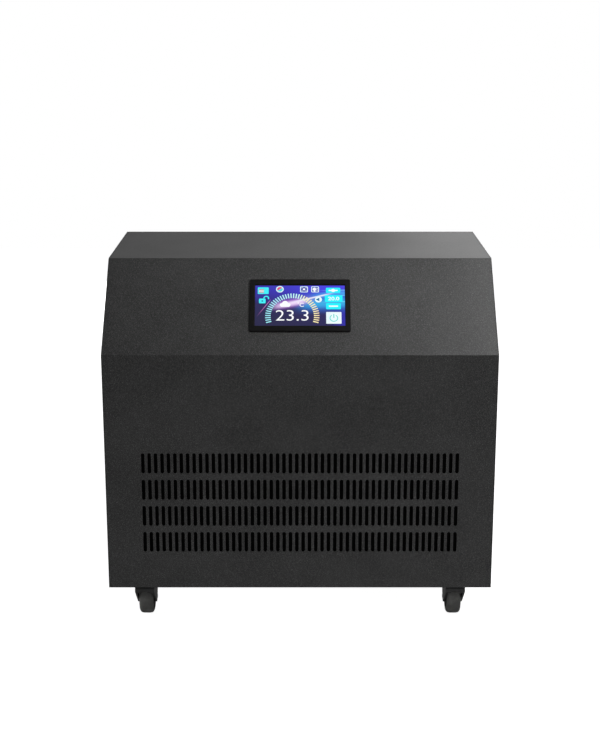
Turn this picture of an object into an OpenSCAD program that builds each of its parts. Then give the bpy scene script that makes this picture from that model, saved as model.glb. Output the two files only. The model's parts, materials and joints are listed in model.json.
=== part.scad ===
/* [Cabinet] */
// Width of the cabinet
cab_w = 550; // [520:5:700]
// Depth of the cabinet
cab_d = 350; // [340:5:450]
// Height of the cabinet without its casters
cab_h = 460; // [450:5:600]
// Rise of the sloping control face
slope_rise = 115; // [100:5:130]
// Angle of the control face above level
slope_angle = 45; // [40:1:50]
// Thickness of the panel sheet
sheet_t = 1.5; // [1:0.1:2]
// Thickness of the base tray
tray_t = 2; // [1.5:0.5:3]
// Height of the base tray's rim
rim_h = 20; // [16:1:30]
// Width of the flanges inside the side panels
flange_w = 14; // [12:1:18]
// Gap left at each panel seam
seam_gap = 0.3; // [0.2:0.1:0.5]

/* [Vents] */
// Width of a punched slot
slot_w = 5; // [4:0.5:6]
// Length of a punched slot
slot_l = 30; // [20:1:34]
// Wanted spacing of the slots along a row
slot_pitch = 9; // [8:0.5:12]
// Spacing of the rows
row_pitch = 39.3; // [36:0.1:42]
// Number of rows
vent_rows = 4; // [2:1:5]
// Height of the lowest row above the cabinet's bottom edge
first_row_h = 70; // [50:1:80]
// Distance from the cabinet's side to the outermost slot
vent_margin = 53.7; // [45:0.1:70]
// Thickness of the air filter behind the slots
filter_t = 3; // [2:0.5:6]

/* [Screen] */
// Width of the bezel
bezel_w = 142; // [130:1:160]
// Height of the bezel
bezel_h = 86.4; // [84:0.2:96]
// How far the bezel stands proud of the slope
bezel_proud = 2.5; // [2:0.1:4]
// Corner radius of the bezel
bezel_r = 2; // [1:0.5:4]
// Width of the visible glass
window_w = 128; // [110:1:129]
// Height of the visible glass
window_h = 69; // [60:1:75]
// Depth of the display housing behind the slope
housing_d = 26; // [18:1:36]

/* [Casters] */
// Diameter of a wheel
wheel_d = 50; // [40:1:60]
// Width of a wheel
wheel_w = 21; // [18:0.5:24]
// Distance from the swivel axis back to the axle
trail = 20; // [16:1:24]
// Distance from the cabinet's side to a swivel axis
caster_inset_x = 48; // [44:1:60]
// Distance from the cabinet's front or back to a swivel axis
caster_inset_y = 45; // [44:1:60]
// Width of the square mounting plate
plate_w = 56; // [54:1:60]
// Thickness of the mounting plate
plate_t = 2.5; // [2:0.5:4]
// Thickness of the fork's steel
fork_t = 2.3; // [1.5:0.1:3]
// Radius of the axle
axle_r = 4; // [3:0.5:5]
// Number of balls in a swivel race
ball_count = 12; // [8:1:16]
// Turn of a brake pedal from free to locked
brake_travel = 22; // [15:1:25]

/* [Refrigeration] */
// Distance from the cabinet's side to the fin pack
cond_margin = 65; // [60:1:90]
// Height of the fin pack
cond_h = 200; // [180:5:240]
// Depth of the fin pack
cond_d = 38; // [30:1:44]
// Number of condenser tubes
tube_rows = 8; // [6:2:8]
// Radius of a condenser tube
tube_r = 4.75; // [4:0.25:5]
// Thickness of a fin
fin_t = 0.4; // [0.3:0.1:0.6]
// Spacing of the fins
fin_pitch = 7; // [6:0.5:12]
// Radius of the fan
fan_r = 92; // [80:1:95]
// Number of fan blades
blade_count = 5; // [3:1:7]
// Depth of the fan along its axis
fan_d = 22; // [18:1:30]
// Radius of the compressor shell
comp_r = 56; // [50:1:60]
// Height of the compressor shell
comp_h = 190; // [160:5:220]
// Radius of the suction accumulator
acc_r = 25; // [20:1:28]
// Radius of the heat exchanger shell
hx_r = 60; // [50:1:62]
// Height of the heat exchanger shell
hx_h = 220; // [190:5:250]
// Radius of the larger copper lines
line_r = 4.75; // [4:0.25:6]
// Radius of the capillary tube
cap_r = 1.5; // [1:0.25:2]

/* [Water circuit] */
// Outer radius of a port's threaded stub
port_r = 13.2; // [12:0.1:16]
// Radius of the water way
bore_r = 9; // [7:0.5:9.5]
// How far a port stands out of the rear panel
port_reach = 30; // [26:1:40]
// Outer radius of the hoses
hose_r = 12; // [11.5:0.5:14]
// Bend radius of the hoses
hose_bend = 25; // [24:1:30]
// Radius of the pump's volute
pump_r = 42; // [36:1:46]
// Width of the pump's volute
pump_w = 36; // [30:1:40]
// Radius of the pump's motor
pump_motor_r = 36; // [30:1:40]
// Length of the pump's motor
pump_motor_l = 88; // [70:1:90]

/* [Electrical] */
// Width of the electrical box
ebox_w = 150; // [130:1:170]
// Height of the electrical box
ebox_h = 100; // [90:1:110]
// Depth of the electrical box
ebox_d = 70; // [60:1:80]
// Width of the power rocker
rocker_w = 13; // [11:0.5:16]
// Height of the power rocker
rocker_h = 19; // [16:0.5:22]
// Tilt of the rocker to either side of level
rocker_tilt = 10; // [6:1:12]
// Radius of the mains cable that the gland takes
cable_r = 4.5; // [3:0.5:5.5]

/* [Fasteners] */
// Radius of the panel screws
screw_r = 2; // [1.5:0.1:2.2]
// Radius of the caster bolts
bolt_r = 3; // [2.5:0.1:3.4]

/* [Hidden] */
$fn = 48;
cut = 1;
run_gap = 0.05;
free_gap = 0.3;
band_share = 0.995;

front_h = cab_h - slope_rise;
slope_run = slope_rise / tan(slope_angle);
front_y = -(cab_d + port_reach) / 2;
inner_w = cab_w - 2 * sheet_t;
face_w = inner_w - 2 * seam_gap;
lip_w = inner_w - 2 * (flange_w + seam_gap);
lip_d = 14;
rear_skin_y = cab_d - sheet_t;

vent_w = cab_w - 2 * vent_margin;
slot_count = floor(vent_w / slot_pitch) + 1;
filter_lap = 9;
filter_rim = 6;
filter_w = vent_w + slot_w + 2 * filter_lap;
filter_h = (vent_rows - 1) * row_pitch + slot_l + 2 * filter_lap;
filter_z = first_row_h + (vent_rows - 1) * row_pitch / 2;

screw_gap = 0.2;
screw_l = 9;
screw_head_r = 2 * screw_r;
screw_head_t = 1.1 * screw_r;
side_screw_shares = [0.14, 0.5, 0.86];
rear_screw_shares = [0.1, 0.37, 0.63, 0.9];
top_screw_shares = [-0.3, 0, 0.3];
rear_screw_x = cab_w / 2 - sheet_t - flange_w / 2;
top_screw_z = cab_h - sheet_t - lip_d / 2;

glass_t = 1.5;
glass_lap = 2;
glass_gap = 0.3;
housing_lap = 4;
cutout_gap = 0.5;
housing_w = window_w + 2 * housing_lap;
housing_h = window_h + 2 * housing_lap;
vent_fin_count = 9;
vent_fin_w = 2;
vent_fin_share = 0.8;
connector_w = 24;
connector_h = 9;

race_r = 18;
race_t = 2.7;
race_gap = 1.6;
ball_r = 2;
ball_gap = 0.1;
ball_ring_r = 14;
king_r = 4;
king_head_r = 7;
king_head_t = 2;
crown_room = 4.2;
crown_z = -(plate_t + 2 * race_t + race_gap);
ball_z = -(plate_t + race_t + race_gap / 2);
wheel_r = wheel_d / 2;
axle_z = crown_z - fork_t - crown_room - wheel_r;
ride_h = wheel_r - axle_z;
side_play = 1.2;
fork_gap = wheel_w + 2 * side_play;
fork_w = fork_gap + 2 * fork_t;
axle_head_r = 6.5;
axle_head_t = 1.2;
axle_boss_r = 8.5;
fork_front = 20;
front_boss_r = 6;
ear_r = 4.5;
skirt_drop = 10;
skirt_arch_share = 0.385;
bolt_gap = 0.2;
bolt_inset = 8;
bolt_head_t = 4;
nut_t = 5;
hex_share = 1.92;
tread_shoulder_r = 3.5;
tyre_t = 6;
rim_t = 4;
hub_r = 8.5;
web_t = 6;
rib_count = 6;
rib_t = 2;
cam_r = 7.15;
cam_tip_r = 2.2;
cam_hub_r = 5.2;
pedal_w_share = 0.94;
pedal_l = 24;
pedal_lift = 15;
pedal_tip_r = 1.6;
pedal_root_r = 4;
brake_pin_r = 2.5;
grip_count = 3;
grip_r = 0.8;
grip_step = 2;
brake_reach = wheel_r + cam_r + free_gap;
brake_angle = asin((crown_z - ear_r - axle_z) / brake_reach);
brake_y = trail + brake_reach * cos(brake_angle);
brake_z = crown_z - ear_r;
plain_ear_reach = 10;
plain_ear_y = trail + plain_ear_reach;
caster_x = cab_w / 2 - caster_inset_x;
caster_spots = [
    [-caster_x, caster_inset_y], [caster_x, caster_inset_y],
    [-caster_x, cab_d - caster_inset_y], [caster_x, cab_d - caster_inset_y]
];

cond_w = cab_w - 2 * cond_margin;
cond_y = 18;
cond_z = 30;
tube_step = cond_h / tube_rows;
end_t = 1.5;
tube_gap = 0.2;
coil_y = cond_y + cond_d / 2;
coil_overhang = 4;
coil_end_x = cond_w / 2 + end_t + coil_overhang + tube_step / 2;
coil_exit_l = 14;
coil_exit_y = cond_y + cond_d + coil_exit_l;
coil_top_z = cond_z + cond_h - tube_step / 2;
coil_low_z = cond_z + tube_step / 2;
rail_d_share = 0.8;
leg_spot_share = 0.36;
leg_w = 24;
fin_end_gap = 4;
shroud_d = 26;
shroud_t = 1.5;
ring_gap = 4;
fan_front_gap = 1.5;
fan_back_gap = 2.5;
ring_d = fan_front_gap + fan_d + fan_back_gap;
ring_t = 2;
fan_z = cond_z + cond_h / 2;
shroud_y = cond_y + cond_d;
throat_y = shroud_y + shroud_d;
fan_y = throat_y + fan_front_gap;
spider_y = throat_y + ring_d;
spider_t = 3;
spider_arm_w = 12;
spider_hub_r = 30;
fan_hub_r = 26;
fan_hub_t = 2;
shaft_r = 4;
nose_r = 10;
nose_gap = 1;
nose_l = fan_back_gap - nose_gap;
motor_r = 36;
motor_l = 48;
shaft_reach = 30;
blade_t = 1.8;
blade_pitch = 32;
camber_r = 70;
motor_rib_count = 16;
motor_rib_t = 2;
motor_rib_h = 3;

foot_h = 18;
foot_r = 11;
foot_waist_r = 8;
foot_ring_gap = 8;
foot_ring_r = comp_r + foot_ring_gap;
foot_bolt_r = 3;
base_plate_t = 3;
dome_share = 0.385;
dome_r = dome_share * comp_r;
comp_rear_share = 0.14;
comp_rear_gap = comp_rear_share * cab_d;
comp_y = cab_d - comp_rear_gap - comp_r;
comp_z = tray_t + foot_h + base_plate_t;
comp_top = comp_z + comp_h;
weld_r = 1.2;
weld_share = 0.78;
stub_l = 8;
pipe_bend = 12;
acc_gap = 4;
acc_h_share = 0.62;
acc_h = acc_h_share * comp_h;
acc_y = comp_y - comp_r - acc_gap - acc_r;
acc_lift_share = 0.2;
acc_z = comp_z + acc_lift_share * comp_h;
strap_h = 12;
strap_shares = [0.3, 0.7];
terminal_w = 42;
terminal_h = 34;
terminal_d = 12;
terminal_share = 0.55;
terminal_wall = 2;
lug_w = 4;
lug_l = 5;

hx_stub_l = 12;
hx_band_t = 3;
clear_gap = 1;
pump_stub_l = 10;
hose_slack = 3;
comp_gap = 12;
row_w = 2 * hx_r + hx_stub_l + 2 * (hose_bend + hose_slack) + pump_stub_l + pump_w
    + pump_motor_l + comp_gap + 2 * comp_r;
hx_side_room = sheet_t + hx_band_t + clear_gap;
comp_side_room = sheet_t + tray_t + foot_r + clear_gap;
spread_shares = [34.5, 48.5];
spare_w = cab_w - row_w - hx_side_room - comp_side_room;
hx_side_gap = hx_side_room + spare_w * spread_shares[0] / (spread_shares[0] + spread_shares[1]);
hx_x = -(cab_w / 2 - hx_side_gap - hx_r);
hx_rear_gap = 45;
hx_y = cab_d - hx_rear_gap - hx_r;
hx_foot_h = 14;
hx_foot_share = 0.6;
hx_foot_r = hx_foot_share * hx_r;
hx_z = tray_t + hx_foot_h;
hx_top = hx_z + hx_h;
hx_band_h = 10;
hx_stub_inset = 30;
hx_pipe_share = 0.42;
port_x = hx_x + hx_r + hx_stub_l + hose_bend + hose_slack;
pump_x = port_x + hose_bend + hose_slack + pump_stub_l;
pump_foot_h = 8;
pump_z = tray_t + pump_foot_h + pump_r;
pump_top = pump_z + pump_r + pump_stub_l;
pump_end = pump_x + pump_w + pump_motor_l;
pump_lug_w = 10;
pump_foot_w_share = 1.2;
pump_rib_count = 18;
line_room = 14;
discharge_rise = 20;
hose_rise = 18;
comp_x = pump_end + comp_gap + comp_r;
transfer_z = pump_top + hose_bend + hose_rise;
upper_port_z = hx_top - hx_stub_inset;
discharge_z = max(comp_top + stub_l, coil_top_z + pipe_bend) + discharge_rise;
suction_z = max(discharge_z + 2 * line_r, hx_top + stub_l + pipe_bend) + line_room;
capillary_z = suction_z + line_r + cap_r + line_room;
drier_r = 14;
drier_l = 90;
drier_neck = 12;
drier_gap = 2;
drier_x = comp_x - acc_r - drier_r - drier_gap;
drier_z = coil_low_z + pipe_bend + line_room;
drier_clip_w = 16;
drier_top = drier_z + drier_l + 2 * drier_neck;

port_flange_r = 22;
port_flange_t = 6;
port_chamfer = 1;
shank_step = 2.8;
shank_r = port_r + shank_step;
shank_gap = 0.3;
shank_l = 18;
tail_l = 12;
port_nut_t = 7;
port_nut_step = 8;
port_nut_r = shank_r + port_nut_step;
port_in_y = rear_skin_y - shank_l - tail_l;
grip_flat_count = 12;
port_grip_r = 1.6;

rear_vent_gap = 24;
rear_vent_x = port_x + port_flange_r + rear_vent_gap;
rear_vent_w = cab_w / 2 - vent_margin - rear_vent_x;
rear_slot_count = floor(rear_vent_w / slot_pitch) + 1;

ebox_side_gap = 34;
ebox_top_gap = 34;
ebox_t = 1.2;
ebox_flange = 8;
ebox_x = cab_w / 2 - sheet_t - ebox_side_gap - ebox_w / 2;
ebox_z = cab_h - sheet_t - ebox_top_gap - ebox_h / 2;
board_t = 1.6;
board_gap = 6;
board_shares = [0.8, 0.74];
board_w = board_shares[0] * ebox_w;
board_h = board_shares[1] * ebox_h;
post_shares = [0.44, 0.42];
spacer_r = 3;
board_y = rear_skin_y - ebox_d + ebox_t + board_gap;
chip_share = 0.16;
chip_w = chip_share * board_w;
chip_h = 9;
sink_fin_count = 5;
sink_fin_t = 1.5;
sink_h = 16;
can_r = 7;
can_h = 18;
can_step = 18;
rocker_x = ebox_x + ebox_w / 4;
gland_x = ebox_x - ebox_w / 4;
rocker_wall = 1.6;
rocker_lip = 2;
rocker_lip_t = 2;
rocker_gap = 0.4;
rocker_depth = 18;
rocker_pivot_r = 1.3;
rocker_pivot_in = 3;
rocker_body_t = 7;
rocker_dish = 1.5;
rocker_back_t = 3.5;
gland_wall = 4;
gland_nut_t = 6;
gland_out = 18;
gland_in = 12;
gland_r = cable_r + gland_wall;
gland_dome_step = 1;
gland_dome_r = gland_r + gland_dome_step;
gland_hex_share = 1.35;

// Places

module in_cabinet() translate([0, front_y, ride_h]) children();

module at_caster(i)
    in_cabinet() translate([caster_spots[i][0], caster_spots[i][1], 0]) children();

module on_slope()
    translate([0, slope_run / 2, front_h + slope_rise / 2]) rotate([slope_angle, 0, 0]) children();

// A flat outline drawn as depth and height, stood across the cabinet and centred on x
module across(w) rotate([90, 0, 90]) linear_extrude(height = w, center = true) children();

// A form drawn along z, turned to run along y from the given point
module along_y(p) translate(p) rotate([-90, 0, 0]) children();

module along_x(p) translate(p) rotate([0, 90, 0]) children();

// Shared shapes

module round_rect(w, h, r) {
    square([w - 2 * r, h], center = true);
    square([w, h - 2 * r], center = true);
    for (x = [-1, 1], y = [-1, 1])
        translate([x * (w / 2 - r), y * (h / 2 - r)]) circle(r);
}

module slot(w, l) {
    square([w, l - w], center = true);
    for (s = [-1, 1]) translate([0, s * (l - w) / 2]) circle(w / 2);
}

// Two circles and the straight band between them, a hair narrower than the circles
module strap(a, ra, b, rb) {
    gap = norm(b - a);
    heading = atan2(b[1] - a[1], b[0] - a[0]);
    lean = acos((ra - rb) / gap);
    polygon([
        for (e = [[a, ra, -1], [b, rb, -1], [b, rb, 1], [a, ra, 1]])
            e[0] + band_share * e[1] * [cos(heading + e[2] * lean), sin(heading + e[2] * lean)]
    ]);
    translate(a) circle(ra);
    translate(b) circle(rb);
}

function unit(v) = v / norm(v);

module ring(inner_r, t) difference() {
    circle(inner_r + t);
    circle(inner_r);
}

// A cylinder from p to q
module rod(p, q, r) {
    d = unit(q - p);
    side = unit(cross(abs(d[2]) > 0.5 ? [1, 0, 0] : [0, 0, 1], d));
    other = cross(d, side);
    multmatrix([
        [side[0], other[0], d[0], p[0]], [side[1], other[1], d[1], p[1]],
        [side[2], other[2], d[2], p[2]], [0, 0, 0, 1]
    ]) cylinder(r = r, h = norm(q - p));
}

// A quarter bend at p, from heading u to heading v
module elbow(p, u, v, r, bend) {
    c = p + bend * (v - u);
    w = cross(u, v);
    multmatrix([
        [-v[0], u[0], w[0], c[0]], [-v[1], u[1], w[1], c[1]],
        [-v[2], u[2], w[2], c[2]], [0, 0, 0, 1]
    ]) rotate_extrude(angle = 90) translate([bend, 0]) circle(r);
}

// A pipe through square turns, with a round bend at each
module pipe(points, r, bend) {
    last = len(points) - 1;
    for (i = [0 : last - 1]) {
        d = unit(points[i + 1] - points[i]);
        p = points[i] + (i > 0 ? bend : 0) * d;
        q = points[i + 1] - (i + 1 < last ? bend : 0) * d;
        if ((q - p) * d > run_gap) rod(p, q, r);
        if (i + 1 < last) elbow(points[i + 1], d, unit(points[i + 2] - points[i + 1]), r, bend);
    }
}

// Cabinet

// Corners of the side outline as depth and height, drawn in by a distance
function side_outline(d) = [
    [d, d], [d, front_h - d * tan((90 - slope_angle) / 2)],
    [slope_run + d * tan(slope_angle / 2), cab_h - d],
    [cab_d - d, cab_h - d], [cab_d - d, d]
];

module vent_field(x0, w, count) {
    step = w / (count - 1);
    for (row = [0 : vent_rows - 1], i = [0 : count - 1])
        translate([x0 + i * step, first_row_h + row * row_pitch]) slot(slot_w, slot_l);
}

// An upright sheet between two depths, drawn as width and height
module upright(y0, t) translate([0, y0 + t, 0]) rotate([90, 0, 0]) linear_extrude(t) children();

module base_tray() color("#2b2b2b") in_cabinet() difference() {
    translate([-inner_w / 2, sheet_t, 0]) cube([inner_w, cab_d - 2 * sheet_t, rim_h]);
    translate([-inner_w / 2 + tray_t, sheet_t + tray_t, tray_t])
        cube([inner_w - 2 * tray_t, cab_d - 2 * (sheet_t + tray_t), rim_h]);
    side_screws(screw_r + screw_gap, screw_l, cut);
    for (spot = caster_spots, hole = bolt_spots())
        translate([spot[0] + hole[0], spot[1] + hole[1], -cut])
            cylinder(r = bolt_r + bolt_gap, h = tray_t + 2 * cut);
}

module front_panel() color("#333333") in_cabinet() {
    upright(0, sheet_t) difference() {
        translate([-face_w / 2, 0]) square([face_w, front_h]);
        vent_field(-vent_w / 2, vent_w, slot_count);
    }
    across(lip_w) translate([sheet_t, front_h - sheet_t]) square([lip_d, sheet_t]);
}

module hood() color("#3c3c3c") in_cabinet() {
    back = rear_skin_y - seam_gap;
    outer = side_outline(0)[2];
    inner = side_outline(sheet_t)[2];
    difference() {
        across(face_w) polygon([
            [0, front_h], outer, [back, cab_h], [back, cab_h - sheet_t], inner,
            [sheet_t / sin(slope_angle), front_h]
        ]);
        on_slope() linear_extrude(4 * sheet_t, center = true)
            square([housing_w + 2 * cutout_gap, housing_h + 2 * cutout_gap], center = true);
    }
    difference() {
        across(lip_w) translate([back - sheet_t, cab_h - sheet_t - lip_d]) square([sheet_t, lip_d]);
        rear_screws(screw_r + screw_gap, screw_l, cut);
    }
}

module side_panel(side) color("#333333") in_cabinet() difference() {
    union() {
        translate([side * (cab_w - sheet_t) / 2, 0, 0]) across(sheet_t) polygon(side_outline(0));
        translate([side * (inner_w - flange_w) / 2, 0, 0]) across(flange_w) difference() {
            polygon(side_outline(sheet_t));
            polygon(side_outline(2 * sheet_t));
            square([cab_d, rim_h + seam_gap]);
        }
    }
    side_screws(screw_r + screw_gap, screw_l, cut);
    rear_screws(screw_r + screw_gap, screw_l, cut);
}

module left_side_panel() side_panel(-1);

module right_side_panel() side_panel(1);

module rear_panel() color("#333333") in_cabinet() difference() {
    upright(rear_skin_y, sheet_t) difference() {
        translate([-face_w / 2, 0]) square([face_w, cab_h]);
        vent_field(rear_vent_x, rear_vent_w, rear_slot_count);
        for (z = [pump_z, upper_port_z]) translate([port_x, z]) circle(shank_r + shank_gap);
        translate([gland_x, ebox_z]) circle(gland_r + shank_gap);
        translate([rocker_x, ebox_z]) square([
            rocker_w + 2 * (rocker_gap + rocker_wall + screw_gap),
            rocker_h + 2 * (rocker_gap + rocker_wall + screw_gap)
        ], center = true);
    }
    rear_screws(screw_r + screw_gap, screw_l, cut);
}

// Shanks of the side screws: radius, reach inwards and reach outwards
module side_screws(r, inward, outward)
    for (side = [-1, 1], share = side_screw_shares)
        translate([side * (cab_w / 2 + outward), share * cab_d, rim_h / 2])
            rotate([0, -side * 90, 0]) cylinder(r = r, h = inward + outward);

module rear_screws(r, inward, outward) {
    spots = concat(
        [for (side = [-1, 1], share = rear_screw_shares) [side * rear_screw_x, share * cab_h]],
        [for (share = top_screw_shares) [share * cab_w, top_screw_z]]
    );
    for (s = spots) translate([s[0], cab_d + outward, s[1]]) rotate([90, 0, 0])
        cylinder(r = r, h = inward + outward);
}

module screw_head() rotate_extrude() intersection() {
    union() {
        square([screw_head_r, screw_head_t / 2]);
        translate([0, screw_head_t / 2]) square([screw_head_r - screw_head_t / 2, screw_head_t / 2]);
        translate([screw_head_r - screw_head_t / 2, screw_head_t / 2]) circle(screw_head_t / 2);
    }
    square([2 * screw_head_r, screw_head_t]);
}

module panel_screws() color("#1c1c1c") in_cabinet() {
    side_screws(screw_r, screw_l, 0);
    rear_screws(screw_r, screw_l, 0);
    for (side = [-1, 1], share = side_screw_shares)
        translate([side * cab_w / 2, share * cab_d, rim_h / 2]) rotate([0, side * 90, 0]) screw_head();
    for (side = [-1, 1], share = rear_screw_shares)
        along_y([side * rear_screw_x, cab_d, share * cab_h]) screw_head();
    for (share = top_screw_shares) along_y([share * cab_w, cab_d, top_screw_z]) screw_head();
}

// A foam sheet with a rim moulded round its back
module air_filter() color("#101010") in_cabinet() translate([0, 0, filter_z]) {
    upright(sheet_t, filter_t) square([filter_w, filter_h], center = true);
    upright(sheet_t + filter_t, filter_t) difference() {
        square([filter_w, filter_h], center = true);
        square([filter_w - 2 * filter_rim, filter_h - 2 * filter_rim], center = true);
    }
}

// Screen

module screen_bezel() color("#1b1b1b") in_cabinet() on_slope() difference() {
    linear_extrude(bezel_proud) round_rect(bezel_w, bezel_h, bezel_r);
    linear_extrude(3 * bezel_proud, center = true) square([window_w, window_h], center = true);
    translate([0, 0, -cut]) linear_extrude(glass_t + cut)
        square([window_w + 2 * glass_lap, window_h + 2 * glass_lap], center = true);
}

module screen_glass() color("#26346e") in_cabinet() on_slope()
    linear_extrude(glass_t) square([
        window_w + 2 * (glass_lap - glass_gap), window_h + 2 * (glass_lap - glass_gap)
    ], center = true);

module screen_housing() color("#202020") in_cabinet() on_slope() difference() {
    union() {
        translate([0, 0, -housing_d]) linear_extrude(housing_d)
            square([housing_w, housing_h], center = true);
        for (i = [0 : vent_fin_count - 1])
            translate([(i / (vent_fin_count - 1) - 0.5) * housing_w * vent_fin_share, 0, -housing_d])
                cube([vent_fin_w, housing_h * vent_fin_share, 2 * vent_fin_w], center = true);
    }
    translate([0, -housing_h / 2, -housing_d / 2])
        cube([connector_w, connector_h, connector_h], center = true);
}

// Electrical

module electrical_box() color("#9a9c9e") in_cabinet() {
    translate([ebox_x, rear_skin_y, ebox_z]) difference() {
        union() {
            translate([-ebox_w / 2, -ebox_d, -ebox_h / 2]) cube([ebox_w, ebox_d, ebox_h]);
            translate([-ebox_w / 2 - ebox_flange, -ebox_t, -ebox_h / 2])
                cube([ebox_w + 2 * ebox_flange, ebox_t, ebox_h]);
        }
        translate([-ebox_w / 2 + ebox_t, -ebox_d + ebox_t, -ebox_h / 2 + ebox_t])
            cube([ebox_w - 2 * ebox_t, ebox_d, ebox_h - 2 * ebox_t]);
    }
    board_posts(spacer_r, rear_skin_y - ebox_d + ebox_t, board_gap);
}

module board_posts(r, y0, l)
    for (x = [-1, 1], z = [-1, 1])
        along_y([ebox_x + x * post_shares[0] * board_w, y0, ebox_z + z * post_shares[1] * board_h])
            cylinder(r = r, h = l);

module control_board() color("#1f5a36") in_cabinet() translate([ebox_x, board_y, ebox_z]) {
    translate([-board_w / 2, 0, -board_h / 2]) cube([board_w, board_t, board_h]);
    for (i = [-1 : 1]) translate([i * board_w / 4 - chip_w / 2, board_t, board_h / 4])
        cube([chip_w, chip_h, chip_w]);
    for (i = [0 : sink_fin_count - 1])
        translate([-board_w / 3 + i * 3 * sink_fin_t, board_t, -board_h / 3])
            cube([sink_fin_t, sink_h, board_h / 3]);
    for (i = [0, 1]) along_y([board_w / 5 + i * can_step, board_t, -board_h / 5])
        cylinder(r = can_r, h = can_h);
}

module mains_gland() color("#1a1a1a") in_cabinet() difference() {
    union() {
        along_y([gland_x, cab_d - gland_in, ebox_z]) cylinder(r = gland_r, h = gland_in);
        along_y([gland_x, cab_d, ebox_z])
            cylinder(r = gland_hex_share * gland_r, h = gland_nut_t, $fn = 6);
        along_y([gland_x, cab_d, ebox_z]) rotate_extrude() {
            square([gland_dome_r, gland_out - gland_wall]);
            translate([0, gland_out - gland_wall]) square([gland_dome_r - gland_wall / 2, gland_wall]);
            translate([gland_dome_r - gland_wall, gland_out - gland_wall]) intersection() {
                circle(gland_wall);
                square(gland_wall);
            }
        }
        along_y([gland_x, rear_skin_y - gland_nut_t, ebox_z])
            cylinder(r = gland_hex_share * gland_r, h = gland_nut_t, $fn = 6);
    }
    along_y([gland_x, cab_d - gland_in - cut, ebox_z])
        cylinder(r = cable_r, h = gland_in + gland_out + 2 * cut);
}

module rocker_housing() color("#161616") in_cabinet() translate([rocker_x, cab_d, ebox_z]) {
    hole_w = rocker_w + 2 * rocker_gap;
    hole_h = rocker_h + 2 * rocker_gap;
    body_w = hole_w + 2 * rocker_wall;
    body_h = hole_h + 2 * rocker_wall;
    difference() {
        union() {
            rotate([-90, 0, 0]) linear_extrude(rocker_lip_t)
                round_rect(body_w + 2 * rocker_lip, body_h + 2 * rocker_lip, rocker_lip);
            translate([-body_w / 2, -rocker_depth, -body_h / 2]) cube([body_w, rocker_depth, body_h]);
        }
        translate([-hole_w / 2, -rocker_depth + 2 * rocker_wall, -hole_h / 2])
            cube([hole_w, rocker_depth + rocker_lip_t, hole_h]);
        translate([0, -rocker_pivot_in, 0]) rotate([0, 90, 0])
            cylinder(r = rocker_pivot_r + run_gap, h = body_w - rocker_wall, center = true);
    }
    for (i = [-1, 1]) translate([-lug_w / 2, -rocker_depth - lug_l, i * body_h / 4 - lug_w / 4])
        cube([lug_w, lug_l, lug_w / 2]);
}

// The rocker is drawn level and then tilted to its off side
module power_rocker() color("#111111") in_cabinet()
    translate([rocker_x, cab_d - rocker_pivot_in, ebox_z]) rotate([rocker_tilt, 0, 0]) {
        across(rocker_w) intersection() {
            circle(rocker_h / 2);
            difference() {
                translate([-rocker_back_t, -rocker_h / 2]) square([2 * rocker_body_t, rocker_h]);
                for (side = [-1, 1]) translate([rocker_body_t - rocker_dish, 0])
                    rotate([0, 0, -side * rocker_tilt])
                        translate([0, side > 0 ? 0 : -rocker_h]) square([rocker_h, rocker_h]);
            }
        }
        rotate([0, 90, 0]) cylinder(
            r = rocker_pivot_r, h = rocker_w + 2 * rocker_gap + rocker_wall - 2 * run_gap, center = true
        );
    }

// Casters

function bolt_spots() = [
    for (x = [-1, 1], y = [-1, 1]) (plate_w / 2 - bolt_inset) * [x, y]
];

module race_groove() translate([0, 0, ball_z]) rotate_extrude()
    translate([ball_ring_r, 0]) circle(ball_r + ball_gap);

module caster_plate() {
    difference() {
        union() {
            translate([0, 0, -plate_t]) linear_extrude(plate_t)
                round_rect(plate_w, plate_w, bolt_inset / 2);
            translate([0, 0, -plate_t - race_t]) cylinder(r = race_r, h = race_t);
        }
        race_groove();
        for (s = bolt_spots()) translate([s[0], s[1], -plate_t - cut])
            cylinder(r = bolt_r + bolt_gap, h = plate_t + 2 * cut);
    }
    translate([0, 0, crown_z - fork_t - free_gap]) cylinder(r = king_r, h = -crown_z + fork_t);
    translate([0, 0, crown_z - fork_t - free_gap - king_head_t])
        cylinder(r = king_head_r, h = king_head_t);
}

// Side view of a fork leg, with an ear at the given depth, level with the crown
module leg_outline(ear) {
    front = [front_boss_r - fork_front, crown_z - front_boss_r];
    axle = [trail, axle_z];
    strap(front, front_boss_r, axle, axle_boss_r);
    strap(axle, axle_boss_r, ear, ear_r);
    translate([front[0], crown_z - ear_r]) square([ear[0] - front[0], ear_r]);
    polygon([front, axle, ear]);
}

// Side view of a fork's crown, with the bend down to its skirt
module crown_outline() {
    bend = [front_boss_r - fork_front, crown_z - front_boss_r];
    translate([bend[0], crown_z - fork_t]) square([trail - bend[0], fork_t]);
    translate([-fork_front, crown_z - skirt_drop]) square([fork_t, skirt_drop - front_boss_r]);
    translate(bend) difference() {
        circle(front_boss_r);
        circle(front_boss_r - fork_t);
        translate([0, -2 * front_boss_r]) square(4 * front_boss_r);
        translate([-2 * front_boss_r, -2 * front_boss_r]) square(2 * front_boss_r);
    }
}

module fork(ear, braked) difference() {
    union() {
        for (side = [-1, 1]) translate([side * (fork_gap + fork_t) / 2, 0, 0]) across(fork_t)
            leg_outline(ear);
        across(fork_gap) crown_outline();
        translate([0, 0, crown_z]) cylinder(r = race_r, h = race_t);
    }
    translate([0, -fork_front, crown_z - skirt_drop - fork_gap / 4]) rotate([90, 0, 0])
        cylinder(r = skirt_arch_share * fork_gap, h = 2 * (fork_t + cut), center = true);
    race_groove();
    translate([0, 0, crown_z - fork_t - cut]) cylinder(r = king_r + run_gap, h = fork_t + race_t + 2 * cut);
    across_hole([trail, axle_z], axle_r + run_gap);
    if (braked) across_hole(ear, brake_pin_r + run_gap);
}

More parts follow.
